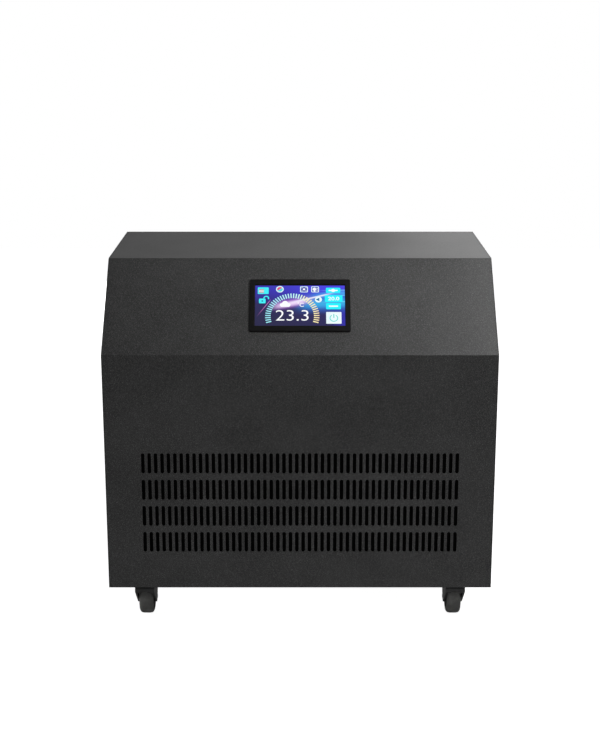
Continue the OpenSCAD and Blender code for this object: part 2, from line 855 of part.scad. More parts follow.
module across_hole(p, r) translate([0, p[0], p[1]]) rotate([0, 90, 0])
    cylinder(r = r, h = fork_w + 2 * cut, center = true);

module caster_fork(i, braked) color("#2c2c2c") at_caster(i)
    fork(braked ? [brake_y, brake_z] : [plain_ear_y, crown_z - ear_r], braked);

module caster_axle(i) color("#8d8f91") at_caster(i) translate([0, trail, axle_z]) {
    rotate([0, 90, 0]) cylinder(r = axle_r, h = fork_w, center = true);
    for (side = [-1, 1]) translate([side * fork_w / 2, 0, 0]) rotate([0, side * 90, 0])
        rotate_extrude() intersection() {
            translate([0, axle_head_t - 2 * axle_head_r]) circle(2 * axle_head_r);
            square([axle_head_r, axle_head_t]);
        }
}

module caster_wheel(i) color("#3a3a3a") at_caster(i) translate([0, trail, axle_z]) rotate([0, 90, 0]) {
    core_r = wheel_r - tyre_t;
    rim_w = wheel_w - 2 * fork_t;
    rotate_extrude() {
        translate([axle_r + run_gap, -(fork_gap / 2 - free_gap)])
            square([hub_r - axle_r - run_gap, fork_gap - 2 * free_gap]);
        translate([hub_r - fork_t, -web_t / 2]) square([core_r - hub_r, web_t]);
        translate([core_r - rim_t, -rim_w / 2]) square([rim_t, rim_w]);
    }
    for (k = [0 : rib_count - 1]) rotate([0, 0, k * 360 / rib_count])
        translate([hub_r - rib_t / 2, -rib_t / 2, -rim_w / 2 + rib_t / 2])
            cube([core_r - rim_t - hub_r + rib_t, rib_t, rim_w - rib_t]);
}

module caster_tyre(i) color("#373735") at_caster(i) translate([0, trail, axle_z]) rotate([0, 90, 0])
    rotate_extrude() difference() {
        union() {
            s = tread_shoulder_r;
            translate([wheel_r - tyre_t, -wheel_w / 2]) square([tyre_t - s, wheel_w]);
            translate([wheel_r - tyre_t, s - wheel_w / 2]) square([tyre_t, wheel_w - 2 * s]);
            for (side = [-1, 1]) translate([wheel_r - s, side * (wheel_w / 2 - s)]) circle(s);
        }
        translate([wheel_r - 2 * tyre_t, -wheel_w / 2]) square([tyre_t, wheel_w]);
    }

module caster_pedal(i) color("#1d1d1d") at_caster(i) {
    hinge = [brake_y, brake_z];
    lobe = brake_angle + 180 + brake_travel;
    across(pedal_w_share * fork_gap) {
        strap(hinge, cam_hub_r, hinge + (cam_r - cam_tip_r) * [cos(lobe), sin(lobe)], cam_tip_r);
        strap(hinge, pedal_root_r, hinge + pedal_l * [cos(pedal_lift), sin(pedal_lift)], pedal_tip_r);
        for (k = [1 : grip_count])
            translate(hinge + (pedal_l - k * grip_step) * [cos(pedal_lift), sin(pedal_lift)])
                rotate([0, 0, pedal_lift]) translate([0, pedal_tip_r + k * grip_r / 3]) circle(grip_r);
    }
    translate([0, hinge[0], hinge[1]]) rotate([0, 90, 0])
        cylinder(r = brake_pin_r, h = fork_w, center = true);
}

module caster_plates() color("#2f2f2f") for (i = [0 : 3]) at_caster(i) caster_plate();

module caster_balls() color("#b9bbbd") for (i = [0 : 3]) at_caster(i)
    for (k = [0 : ball_count - 1]) rotate([0, 0, k * 360 / ball_count])
        translate([ball_ring_r, 0, ball_z]) sphere(ball_r);

module caster_bolts() color("#a7a9ab") for (i = [0 : 3], s = bolt_spots()) at_caster(i) translate(s) {
    translate([0, 0, -plate_t - bolt_head_t]) cylinder(r = hex_share * bolt_r, h = bolt_head_t, $fn = 6);
    translate([0, 0, -plate_t]) cylinder(r = bolt_r, h = plate_t + tray_t + nut_t + cut);
    translate([0, 0, tray_t]) cylinder(r = hex_share * bolt_r, h = nut_t, $fn = 6);
}

// Refrigeration

function tube_z(k) = coil_top_z - k * tube_step;

module fin_plate() difference() {
    translate([cond_y, cond_z]) square([cond_d, cond_h]);
    for (k = [0 : tube_rows - 1]) translate([coil_y, tube_z(k)]) circle(tube_r);
}

module condenser_fins() color("#a9adb0") in_cabinet() {
    span = cond_w - 2 * fin_end_gap;
    count = floor(span / fin_pitch);
    for (i = [0 : count]) translate([(i - count / 2) * fin_pitch, 0, 0]) across(fin_t) fin_plate();
}

// Tubes run from side to side and step down at alternate ends
function coil_route() = concat(
    [[coil_end_x, coil_exit_y, coil_top_z], [coil_end_x, coil_y, coil_top_z]],
    [for (k = [0 : tube_rows - 2], end = [0, 1])
        [(k % 2 == 0 ? -1 : 1) * coil_end_x, coil_y, tube_z(k + end)]],
    [[coil_end_x, coil_y, coil_low_z], [coil_end_x, coil_exit_y, coil_low_z]]
);

module condenser_coil() color("#b87345") in_cabinet() pipe(coil_route(), tube_r, tube_step / 2);

module condenser_frame() color("#8f9294") in_cabinet() {
    for (side = [-1, 1]) {
        translate([side * (cond_w + end_t) / 2, 0, 0]) across(end_t) difference() {
            translate([cond_y, cond_z - tray_t]) square([cond_d, cond_h + 2 * tray_t]);
            for (k = [0 : tube_rows - 1]) translate([coil_y, tube_z(k)]) circle(tube_r + tube_gap);
        }
        translate([side * leg_spot_share * cond_w, 0, 0]) {
            across(leg_w) translate([cond_y, tray_t]) square([end_t, cond_z - 2 * tray_t]);
            across(leg_w) translate([cond_y, tray_t]) square([rail_d_share * cond_d, tray_t]);
        }
    }
    for (z = [cond_z - tray_t, cond_z + cond_h]) across(cond_w)
        translate([cond_y, z]) square([cond_d, tray_t]);
}

module fan_shroud() color("#7f8284") in_cabinet() {
    translate([0, shroud_y, 0]) difference() {
        translate([-cond_w / 2, 0, cond_z]) cube([cond_w, shroud_d, cond_h]);
        translate([-cond_w / 2 + shroud_t, -cut, cond_z + shroud_t])
            cube([cond_w - 2 * shroud_t, shroud_d - shroud_t + cut, cond_h - 2 * shroud_t]);
        along_y([0, 0, fan_z]) cylinder(r = fan_r + ring_gap, h = shroud_d + cut);
    }
    along_y([0, throat_y, fan_z]) linear_extrude(ring_d) ring(fan_r + ring_gap, ring_t);
    along_y([0, spider_y, fan_z]) linear_extrude(spider_t) {
        ring(fan_r + ring_gap, ring_t);
        difference() {
            union() {
                circle(spider_hub_r);
                for (k = [0, 90]) rotate([0, 0, 45 + k])
                    square([2 * (fan_r + ring_gap) + ring_t, spider_arm_w], center = true);
            }
            circle(nose_r + free_gap);
        }
    }
}

module fan_motor() color("#4a4d50") in_cabinet() along_y([0, spider_y, fan_z]) difference() {
    union() {
        translate([0, 0, spider_t]) cylinder(r = motor_r, h = motor_l);
        translate([0, 0, -nose_l]) cylinder(r = nose_r, h = nose_l + spider_t);
        for (k = [0 : motor_rib_count - 1]) rotate([0, 0, k * 360 / motor_rib_count])
            translate([motor_r - motor_rib_t, -motor_rib_t / 2, spider_t + motor_rib_h])
                cube([motor_rib_h + motor_rib_t, motor_rib_t, motor_l - 2 * motor_rib_h]);
    }
    translate([0, 0, -nose_l - cut]) cylinder(r = shaft_r + run_gap, h = nose_l + shaft_reach + 2 * cut);
}

// One cambered blade, cut from a curved sheet that lies across the fan's depth
module blade() intersection() {
    difference() {
        cylinder(r = fan_r, h = fan_d);
        translate([0, 0, -cut]) cylinder(r = fan_hub_r - fan_hub_t / 2, h = fan_d + 2 * cut);
    }
    translate([0, 0, fan_d / 2]) rotate([blade_pitch, 0, 0]) translate([0, 0, -camber_r])
        rotate([0, 90, 0]) difference() {
            cylinder(r = camber_r + blade_t / 2, h = fan_r + cut);
            translate([0, 0, -cut]) cylinder(r = camber_r - blade_t / 2, h = fan_r + 3 * cut);
        }
    translate([0, -fan_r / 2, 0]) cube([2 * fan_r, fan_r, fan_d]);
}

module fan_blades() color("#202224") in_cabinet() along_y([0, fan_y, fan_z]) {
    for (k = [0 : blade_count - 1]) rotate([0, 0, k * 360 / blade_count]) blade();
    difference() {
        cylinder(r = fan_hub_r, h = fan_d);
        translate([0, 0, fan_hub_t]) difference() {
            cylinder(r = fan_hub_r - fan_hub_t, h = fan_d);
            cylinder(r = 2 * shaft_r, h = fan_d);
        }
    }
    cylinder(r = shaft_r, h = spider_y - fan_y + shaft_reach);
}

module compressor() color("#1e1f21") in_cabinet() {
    translate([comp_x, comp_y, 0]) {
        translate([0, 0, comp_z]) rotate_extrude() {
            translate([0, dome_r]) square([comp_r, comp_h - 2 * dome_r]);
            square([comp_r - dome_r, comp_h]);
            for (z = [dome_r, comp_h - dome_r]) intersection() {
                translate([comp_r - dome_r, z]) circle(dome_r);
                square([comp_r, comp_h]);
            }
            translate([comp_r, weld_share * comp_h]) circle(weld_r);
        }
        translate([0, 0, comp_z - base_plate_t]) linear_extrude(base_plate_t) difference() {
            union() {
                circle(comp_r - dome_r);
                for (a = foot_angles()) strap([0, 0], comp_r / 2, foot_ring_r * [cos(a), sin(a)], foot_r);
            }
            for (a = foot_angles()) translate(foot_ring_r * [cos(a), sin(a)])
                circle(foot_bolt_r + bolt_gap);
        }
        translate([-comp_r / 2, 0, comp_top]) cylinder(r = line_r, h = stub_l);
    }
    translate([comp_x, acc_y, 0]) {
        translate([0, 0, acc_z]) rotate_extrude() {
            translate([0, acc_r / 2]) square([acc_r, acc_h - acc_r]);
            square([acc_r / 2, acc_h]);
            for (z = [acc_r / 2, acc_h - acc_r / 2]) intersection() {
                translate([acc_r / 2, z]) circle(acc_r / 2);
                square([acc_r, acc_h]);
            }
        }
        translate([0, 0, acc_z + acc_h]) cylinder(r = line_r, h = stub_l);
    }
    for (share = strap_shares) translate([comp_x - strap_h, acc_y, acc_z + share * acc_h])
        cube([2 * strap_h, comp_y - acc_y, strap_h]);
}

function foot_angles() = [90, 210, 330];

module compressor_feet() color("#151515") in_cabinet() translate([comp_x, comp_y, tray_t])
    for (a = foot_angles()) translate(foot_ring_r * [cos(a), sin(a), 0]) {
        rotate_extrude() difference() {
            square([foot_r, foot_h]);
            translate([foot_r, foot_h / 2]) circle(foot_r - foot_waist_r);
        }
        translate([0, 0, foot_h]) cylinder(r = foot_bolt_r, h = base_plate_t + nut_t);
        translate([0, 0, foot_h + base_plate_t]) cylinder(r = hex_share * foot_bolt_r, h = nut_t, $fn = 6);
    }

module terminal_cover() color("#101112") in_cabinet()
    translate([comp_x, comp_y, comp_z + terminal_share * comp_h]) rotate([0, 0, 90])
    translate([comp_r - terminal_d / 3, 0, 0]) difference() {
        translate([0, -terminal_w / 2, -terminal_h / 2]) cube([terminal_d, terminal_w, terminal_h]);
        translate([-terminal_wall, -terminal_w / 2 + terminal_wall, -terminal_h / 2 + terminal_wall])
            cube([terminal_d, terminal_w - 2 * terminal_wall, terminal_h - 2 * terminal_wall]);
        translate([terminal_d / 3 - comp_r, 0, -terminal_h])
            cylinder(r = comp_r + run_gap, h = 2 * terminal_h);
    }

module heat_exchanger() color("#e4e6e7") in_cabinet() {
    translate([hx_x, hx_y, 0]) {
        translate([0, 0, tray_t]) cylinder(r = hx_foot_r, h = hx_foot_h);
        translate([0, 0, hx_z]) cylinder(r = hx_r, h = hx_h);
        for (z = [hx_z, hx_top - hx_band_h]) translate([0, 0, z])
            cylinder(r = hx_r + hx_band_t, h = hx_band_h);
        for (side = [-1, 1]) translate([side * hx_pipe_share * hx_r, 0, hx_top])
            cylinder(r = side > 0 ? line_r : cap_r, h = stub_l);
    }
    for (z = [transfer_z, upper_port_z])
        along_x([hx_x, hx_y, z]) difference() {
            cylinder(r = hose_r, h = hx_r + hx_stub_l);
            translate([0, 0, hx_r]) cylinder(r = bore_r, h = hx_stub_l + cut);
        }
}

module filter_drier() color("#b87345") in_cabinet() {
    translate([drier_x, acc_y, drier_z]) rotate_extrude() {
        square([line_r, drier_neck]);
        translate([0, drier_neck]) polygon([
            [0, 0], [line_r, 0], [drier_r, drier_neck / 2], [drier_r, drier_l - drier_neck / 2],
            [cap_r, drier_l], [0, drier_l]
        ]);
        translate([0, drier_neck + drier_l]) square([cap_r, drier_neck]);
    }
    translate([drier_x, acc_y - drier_clip_w / 2, drier_z + drier_neck + drier_l / 2])
        cube([comp_x - acc_r - drier_x, drier_clip_w, end_t]);
}

module capillary_tube() color("#b87345") in_cabinet() pipe([
    [drier_x, acc_y, drier_top], [drier_x, acc_y, capillary_z],
    [hx_x - hx_pipe_share * hx_r, acc_y, capillary_z],
    [hx_x - hx_pipe_share * hx_r, hx_y, capillary_z],
    [hx_x - hx_pipe_share * hx_r, hx_y, hx_top + stub_l]
], cap_r, pipe_bend);

module discharge_line() color("#b87345") in_cabinet() pipe([
    [comp_x - comp_r / 2, comp_y, comp_top + stub_l], [comp_x - comp_r / 2, comp_y, discharge_z],
    [coil_end_x, comp_y, discharge_z], [coil_end_x, coil_exit_y + 2 * pipe_bend, discharge_z],
    [coil_end_x, coil_exit_y + 2 * pipe_bend, coil_top_z], [coil_end_x, coil_exit_y, coil_top_z]
], tube_r, pipe_bend);

module liquid_line() color("#b87345") in_cabinet() pipe([
    [coil_end_x, coil_exit_y, coil_low_z], [coil_end_x, acc_y, coil_low_z],
    [drier_x, acc_y, coil_low_z], [drier_x, acc_y, drier_z]
], tube_r, pipe_bend);

module suction_line() color("#b87345") in_cabinet() pipe([
    [hx_x + hx_pipe_share * hx_r, hx_y, hx_top + stub_l],
    [hx_x + hx_pipe_share * hx_r, hx_y, suction_z],
    [comp_x, hx_y, suction_z], [comp_x, acc_y, suction_z],
    [comp_x, acc_y, acc_z + acc_h + stub_l]
], line_r, pipe_bend);

// Water circuit

module pump() color("#26292c") in_cabinet() {
    difference() {
        union() {
            along_x([pump_x, hx_y, pump_z]) cylinder(r = pump_r, h = pump_w);
            along_x([pump_x - pump_stub_l, hx_y, pump_z]) cylinder(r = hose_r, h = pump_stub_l);
            translate([pump_x + pump_w / 2, hx_y, pump_z]) cylinder(r = hose_r, h = pump_r + pump_stub_l);
        }
        along_x([pump_x - pump_stub_l - cut, hx_y, pump_z]) cylinder(r = bore_r, h = pump_w + pump_stub_l);
        translate([pump_x + pump_w / 2, hx_y, pump_z]) cylinder(r = bore_r, h = pump_r + pump_stub_l + cut);
    }
    translate([pump_x, hx_y - pump_r * pump_foot_w_share / 2, tray_t])
        cube([pump_w, pump_r * pump_foot_w_share, pump_foot_h + pump_r / 4]);
}

module pump_motor() color("#3a5f8f") in_cabinet() {
    along_x([pump_x + pump_w, hx_y, pump_z]) {
        cylinder(r = pump_motor_r, h = pump_motor_l);
        for (k = [0 : pump_rib_count - 1]) rotate([0, 0, k * 360 / pump_rib_count])
            translate([pump_motor_r - motor_rib_t, -motor_rib_t / 2, motor_rib_h])
                cube([motor_rib_h + motor_rib_t, motor_rib_t, pump_motor_l - 4 * motor_rib_h]);
    }
    translate([pump_x + pump_w + pump_lug_w, hx_y - pump_motor_r * pump_foot_w_share / 2, tray_t])
        cube([pump_motor_l / 2, pump_motor_r * pump_foot_w_share, pump_z - tray_t - pump_motor_r / 2]);
}

module port(z) color("#c9a35a") in_cabinet() along_y([port_x, 0, z]) difference() {
    union() {
        rotate_extrude() polygon([
            [0, port_in_y], [hose_r, port_in_y], [hose_r, port_in_y + tail_l],
            [shank_r, port_in_y + tail_l], [shank_r, cab_d],
            [port_flange_r, cab_d], [port_flange_r, cab_d + port_flange_t],
            [port_r, cab_d + port_flange_t], [port_r, cab_d + port_reach - port_chamfer],
            [port_r - port_chamfer, cab_d + port_reach], [0, cab_d + port_reach]
        ]);
        for (k = [0 : grip_flat_count - 1]) rotate([0, 0, k * 360 / grip_flat_count])
            translate([port_flange_r, 0, cab_d]) cylinder(r = port_grip_r, h = port_flange_t);
    }
    translate([0, 0, port_in_y - cut]) cylinder(r = bore_r, h = cab_d + port_reach - port_in_y + 2 * cut);
}

module inlet_port() port(pump_z);

module outlet_port() port(upper_port_z);

module port_nuts() color("#2a2a2a") in_cabinet()
    for (z = [pump_z, upper_port_z]) along_y([port_x, rear_skin_y - port_nut_t, z]) difference() {
        cylinder(r = port_nut_r, h = port_nut_t, $fn = 6);
        translate([0, 0, -cut]) cylinder(r = shank_r + run_gap, h = port_nut_t + 2 * cut);
    }

module hose(points) color("#17181a") in_cabinet() difference() {
    pipe(points, hose_r, hose_bend);
    pipe(points, bore_r, hose_bend);
}

module inlet_hose() hose([
    [port_x, port_in_y, pump_z], [port_x, hx_y, pump_z], [pump_x - pump_stub_l, hx_y, pump_z]
]);

module transfer_hose() hose([
    [pump_x + pump_w / 2, hx_y, pump_top], [pump_x + pump_w / 2, hx_y, transfer_z],
    [hx_x + hx_r + hx_stub_l, hx_y, transfer_z]
]);

module outlet_hose() hose([
    [hx_x + hx_r + hx_stub_l, hx_y, upper_port_z], [port_x, hx_y, upper_port_z],
    [port_x, port_in_y, upper_port_z]
]);

base_tray();
front_panel();
hood();
left_side_panel();
right_side_panel();
rear_panel();
panel_screws();
air_filter();
screen_bezel();
screen_glass();
screen_housing();
electrical_box();
control_board();
mains_gland();
rocker_housing();
power_rocker();
caster_fork(0, true);  // caster_fl_fork
caster_axle(0);  // caster_fl_axle
caster_wheel(0);  // caster_fl_wheel
caster_tyre(0);  // caster_fl_tyre
caster_pedal(0);  // caster_fl_pedal
caster_fork(1, true);  // caster_fr_fork
caster_axle(1);  // caster_fr_axle
caster_wheel(1);  // caster_fr_wheel
caster_tyre(1);  // caster_fr_tyre
caster_pedal(1);  // caster_fr_pedal
caster_fork(2, false);  // caster_rl_fork
caster_axle(2);  // caster_rl_axle
caster_wheel(2);  // caster_rl_wheel
caster_tyre(2);  // caster_rl_tyre
caster_fork(3, false);  // caster_rr_fork
caster_axle(3);  // caster_rr_axle
caster_wheel(3);  // caster_rr_wheel
caster_tyre(3);  // caster_rr_tyre
caster_plates();
caster_balls();
caster_bolts();
compressor();
compressor_feet();
terminal_cover();
condenser_fins();
condenser_coil();
condenser_frame();
fan_shroud();
fan_motor();
fan_blades();
heat_exchanger();
filter_drier();
capillary_tube();
discharge_line();
liquid_line();
suction_line();
pump();
pump_motor();
inlet_port();
outlet_port();
port_nuts();
inlet_hose();
transfer_hose();
outlet_hose();
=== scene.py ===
import json
import math

import bmesh
import bpy
from mathutils import Matrix, Vector
from mathutils.bvhtree import BVHTree


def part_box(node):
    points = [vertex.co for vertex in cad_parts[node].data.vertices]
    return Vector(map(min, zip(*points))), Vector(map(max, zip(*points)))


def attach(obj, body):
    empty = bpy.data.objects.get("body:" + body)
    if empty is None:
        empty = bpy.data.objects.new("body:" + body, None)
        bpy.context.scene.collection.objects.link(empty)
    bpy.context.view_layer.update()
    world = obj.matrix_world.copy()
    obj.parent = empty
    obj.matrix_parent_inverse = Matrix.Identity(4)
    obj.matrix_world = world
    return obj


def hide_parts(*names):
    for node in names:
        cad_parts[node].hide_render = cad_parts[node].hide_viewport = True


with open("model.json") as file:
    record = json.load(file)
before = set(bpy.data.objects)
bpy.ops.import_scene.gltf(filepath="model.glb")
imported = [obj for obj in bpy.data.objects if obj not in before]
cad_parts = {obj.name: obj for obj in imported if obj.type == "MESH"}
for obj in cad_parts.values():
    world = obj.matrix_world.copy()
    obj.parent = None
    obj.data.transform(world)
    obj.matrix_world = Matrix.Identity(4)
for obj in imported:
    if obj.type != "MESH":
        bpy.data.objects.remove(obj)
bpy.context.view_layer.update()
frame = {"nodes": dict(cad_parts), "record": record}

nodes, record = frame["nodes"], frame["record"]
slotOf = {part["node"]: part["material_slot"] for part in record["subparts"]}
bodyOf = {name: body for body, names in record["behaviour"]["bodies"].items() for name in names}
mm = 0.001


# Shader helpers

def shade(red, green, blue):  # a screen colour of 0 to 255, as the linear colour that sockets take
    return tuple(((v / 255 + 0.055) / 1.055) ** 2.4 if v > 10 else v / 3294.6 for v in (red, green, blue))


def shifted(colour, lift):  # a screen colour made lighter, or darker where lift is negative
    return shade(*(max(0, min(255, v + lift)) for v in colour))


class Wire:  # an output socket that can stand in sums
    def __init__(self, wiring, socket):
        self.wiring, self.socket = wiring, socket

    def maths(self, operation, *values):
        return self.wiring.node("ShaderNodeMath", {"operation": operation}, dict(enumerate(values)))

    def __add__(self, other):
        return self.maths("ADD", self, other)

    def __sub__(self, other):
        return self.maths("SUBTRACT", self, other)

    def __rsub__(self, other):
        return self.maths("SUBTRACT", other, self)

    def __mul__(self, other):
        return self.maths("MULTIPLY", self, other)

    def __truediv__(self, other):
        return self.maths("DIVIDE", self, other)

    def __rtruediv__(self, other):
        return self.maths("DIVIDE", other, self)

    def __abs__(self):
        return self.maths("ABSOLUTE", self)

    __radd__, __rmul__ = __add__, __mul__

    def most(self, other):  # the larger of the two
        return self.maths("MAXIMUM", self, other)

    def span(self, low, high, toLow=0.0, toHigh=1.0, kind="SMOOTHSTEP"):  # a smooth step from low to high
        return self.wiring.node(
            "ShaderNodeMapRange", {"interpolation_type": kind},
            {"Value": self, "From Min": low, "From Max": high, "To Min": toLow, "To Max": toHigh})


class Wiring:  # a node tree, and the one method that adds any node to it
    def __init__(self, tree):
        self.tree = tree

    def join(self, socket, value):
        if isinstance(value, Wire):
            self.tree.links.new(value.socket, socket)
        elif isinstance(value, tuple) and len(value) == 3 and socket.type == "RGBA":
            socket.default_value = (*value, 1)
        else:
            socket.default_value = value

    def node(self, kind, settings, values, out=0):
        made = self.tree.nodes.new(kind)
        stops = settings.get("stops", ())
        for key, value in settings.items():
            if key != "stops":
                setattr(made, key, value)
        for index, (place, colour) in enumerate(stops):
            ramp = made.color_ramp.elements
            stop = ramp[index] if index < 2 else ramp.new(place)
            stop.position, stop.color = place, (*colour, 1)
        for key, value in values.items():
            self.join(made.inputs[key], value)
        return Wire(self, made.outputs[out])

    def ray(self, kind):
        return self.node("ShaderNodeLightPath", {}, {}, kind)

    def looked(self):  # 1 for a straight look, also through glass
        return self.ray("Is Camera Ray").most(self.ray("Is Transmission Ray"))

    def blend(self, factor, first, second):
        return self.node("ShaderNodeMixShader", {}, {0: factor, 1: first, 2: second})

    def end(self, kind, shader):
        self.join(self.tree.nodes.new(kind).inputs[0], shader)


socketNames = {
    "metal": "Metallic", "coat": "Coat Weight", "coatRough": "Coat Roughness", "ior": "IOR",
    "sheen": "Sheen Weight", "specular": "Specular IOR Level", "colour": "Base Color",
    "rough": "Roughness", "glowStrength": "Emission Strength",
}


class Finish(Wiring):  # one material, and the patterns that feed its surface
    def __init__(self, name, **fixed):
        self.material = bpy.data.materials.new(name)
        self.material.use_nodes = True
        super().__init__(self.material.node_tree)
        self.surface = self.tree.nodes["Principled BSDF"]
        self.coords = None
        for key, value in fixed.items():
            self.feed(socketNames[key], value)

    def feed(self, name, value):
        self.join(self.surface.inputs[name], value)

    def where(self, scale=(1, 1, 1), turn=(0, 0, 0)):
        if self.coords is None:
            self.coords = self.node("ShaderNodeTexCoord", {}, {}, "Object")
        if (scale, turn) == ((1, 1, 1), (0, 0, 0)):
            return self.coords
        return self.node("ShaderNodeMapping", {}, {"Vector": self.coords, "Rotation": turn, "Scale": scale})

    def axis(self, name):
        return self.node("ShaderNodeSeparateXYZ", {}, {0: self.where()}, name)

    def noise(self, size, detail=2.0, rough=0.5, place=None, warp=0.0):  # size is a grain's width in metres
        return self.node("ShaderNodeTexNoise", {}, {
            "Vector": place or self.where(), "Scale": 1 / size, "Detail": detail,
            "Roughness": rough, "Distortion": warp})

    def cells(self, size, place=None, feature="F1", out="Distance"):
        return self.node("ShaderNodeTexVoronoi", {"feature": feature}, {
            "Vector": place or self.where(), "Scale": 1 / size}, out)

    def ramp(self, value, stops):  # stops are pairs of a place from 0 to 1 and a screen colour
        shades = [(place, shade(*colour)) for place, colour in stops]
        return self.node("ShaderNodeValToRGB", {"stops": shades}, {"Fac": value})

    def mix(self, factor, first, second):
        return self.node("ShaderNodeMix", {"data_type": "RGBA"}, {0: factor, 6: first, 7: second}, 2)

    def bump(self, height, depth):  # depth in metres from the lowest to the highest point
        self.feed("Normal", self.node("ShaderNodeBump", {}, {
            "Height": height, "Strength": 1.0, "Distance": depth}))


# Camera and lights

cameraSetup = {"place": (0, -2.14038, 0.90106), "pitch": 14.881, "lens": 69.93, "sensor": 36}
stageSetup = {
    "floor": 6.0,                  # side of the floor
    "floorColour": 0.6,
    "floorGlow": 0.95,             # how white the floor is where no light falls
    "floorShine": 0.08,            # how much of that glow shows in reflections
    "room": 0.14,                  # plain light from all round
    "backdrop": (0.0, 1.0),        # brightness of the backdrop in reflections, from the left to the right
    "backdropEnds": (-0.45, 0.5),
    "behind": (0.0, 0.3),          # how far towards the back the backdrop fades in
}
lampSetup = {
    "key": {"place": (0.75, -0.35, 1.35), "aim": (0.1, -0.1, 0.5), "size": (0.5, 0.5), "power": 10.5},
    "rear": {"place": (1.0, 1.5, 1.1), "aim": (0, 0, 0.5), "size": (1.8, 0.9), "power": 6},
    "front": {"place": (0.3, -2.6, 1.0), "aim": (0, -0.1, 0.3), "size": (1.6, 1.6), "power": 6.8},
    "overhead": {"place": (0, -0.3, 2.3), "aim": (0, -0.1, 0.4), "size": (1.6, 1.2), "power": 2.2},
    "left": {"place": (-2.0, 0.3, 0.3), "aim": (-0.2, 0.1, 0.3), "size": (1.3, 0.44), "power": 12},
    "back": {"place": (-0.7, 2.4, 0.3), "aim": (-0.1, 0.2, 0.3), "size": (1.3, 0.44), "power": 18},
}


def setCamera():
    camera = bpy.data.objects.new("camera", bpy.data.cameras.new("camera"))
    camera.data.lens, camera.data.sensor_width = cameraSetup["lens"], cameraSetup["sensor"]
    camera.location = cameraSetup["place"]
    camera.rotation_euler = (math.radians(90 - cameraSetup["pitch"]), 0, 0)
    bpy.context.scene.collection.objects.link(camera)
    bpy.context.scene.camera = camera


def hangLamp(name, setup):
    lamp = bpy.data.objects.new(name, bpy.data.lights.new(name, "AREA"))
    lamp.data.shape = "RECTANGLE"
    lamp.data.size, lamp.data.size_y = setup["size"]
    lamp.data.energy = setup["power"]
    lamp.location = setup["place"]
    toward = Vector(setup["aim"]) - Vector(setup["place"])
    lamp.rotation_euler = toward.to_track_quat("-Z", "Y").to_euler()
    bpy.context.scene.collection.objects.link(lamp)


def lightRoom():  # white to the camera, a graded backdrop in reflections, plain light for the rest
    world = bpy.data.worlds.new("room")
    bpy.context.scene.world = world
    world.use_nodes = True
    world.node_tree.nodes.clear()
    room = Wiring(world.node_tree)
    toward = room.node("ShaderNodeTexCoord", {}, {}, "Generated")
    x, y = [room.node("ShaderNodeSeparateXYZ", {}, {0: toward}, name) for name in "XY"]
    across = x.span(*stageSetup["backdropEnds"], *stageSetup["backdrop"], "LINEAR")
    behind = y.span(*stageSetup["behind"], stageSetup["room"], 1, "LINEAR")
    plain, black, white = [
        room.node("ShaderNodeBackground", {}, {"Color": (1, 1, 1), "Strength": strength})
        for strength in (stageSetup["room"], 0, 1)]
    graded = room.blend(across * behind, black, white)
    lighting = room.blend(room.ray("Is Glossy Ray"), plain, graded)
    room.end("ShaderNodeOutputWorld", room.blend(room.looked(), lighting, white))


def layFloor():  # a matt floor with a glow that only straight looks and reflections see
    shape = bmesh.new()
    bmesh.ops.create_grid(shape, x_segments=1, y_segments=1, size=stageSetup["floor"] / 2)
    mesh = bpy.data.meshes.new("floor")
    shape.to_mesh(mesh)
    shape.free()
    floor = bpy.data.objects.new("floor", mesh)
    bpy.context.scene.collection.objects.link(floor)
    material = bpy.data.materials.new("floorWhite")
    material.use_nodes = True
    material.node_tree.nodes.clear()
    paint = Wiring(material.node_tree)
    matt = paint.node("ShaderNodeBsdfDiffuse", {}, {"Color": (stageSetup["floorColour"],) * 3})
    glow = paint.node("ShaderNodeMixShader", {}, {
        0: (paint.ray("Is Glossy Ray") * stageSetup["floorShine"] + paint.looked()) * stageSetup["floorGlow"],
        2: paint.node("ShaderNodeEmission", {}, {})})
    paint.end("ShaderNodeOutputMaterial", paint.node("ShaderNodeAddShader", {}, {0: matt, 1: glow}))
    mesh.materials.append(material)


bpy.context.scene.view_settings.view_transform = "Standard"
setCamera()
lightRoom()
layFloor()
for lampName, lampValues in lampSetup.items():
    hangLamp(lampName, lampValues)
print("camera, room and lamps are set")


# Finishes

powderLook = {
    "dark": (31, 31, 31), "light": (99, 99, 99), "speck": (0.495, 0.715), "cloud": 90 * mm,
    "grain": 0.85 * mm, "peel": 3.4 * mm, "depth": 0.1 * mm, "rough": (0.4, 0.56),
    "turn": (0.6, 0.35, 0.8),   # keeps the flat panels off the noise's own grid
}


def powderCoat():
    look, finish = powderLook, Finish("powderCoat", ior=1.5)
    place = finish.where(turn=look["turn"])
    grain = finish.noise(look["grain"], 1, 0.6, place)
    peel = finish.noise(look["peel"], 1, 0.5, place)
    cloud = finish.noise(look["cloud"], 3)
    tone = grain.span(*look["speck"]) * 0.9 + cloud.span(0.3, 0.7) * 0.1
    finish.feed("Base Color", finish.mix(tone, shade(*look["dark"]), shade(*look["light"])))
    finish.feed("Roughness", grain.span(0.3, 0.7, *look["rough"]))
    finish.bump(grain * 0.6 + peel * 0.4, look["depth"])
    return finish.material


plasticLook = {"grain": 0.5 * mm, "flow": 30 * mm, "run": (1, 0.35, 1), "lift": 9, "depth": 0.012 * mm}


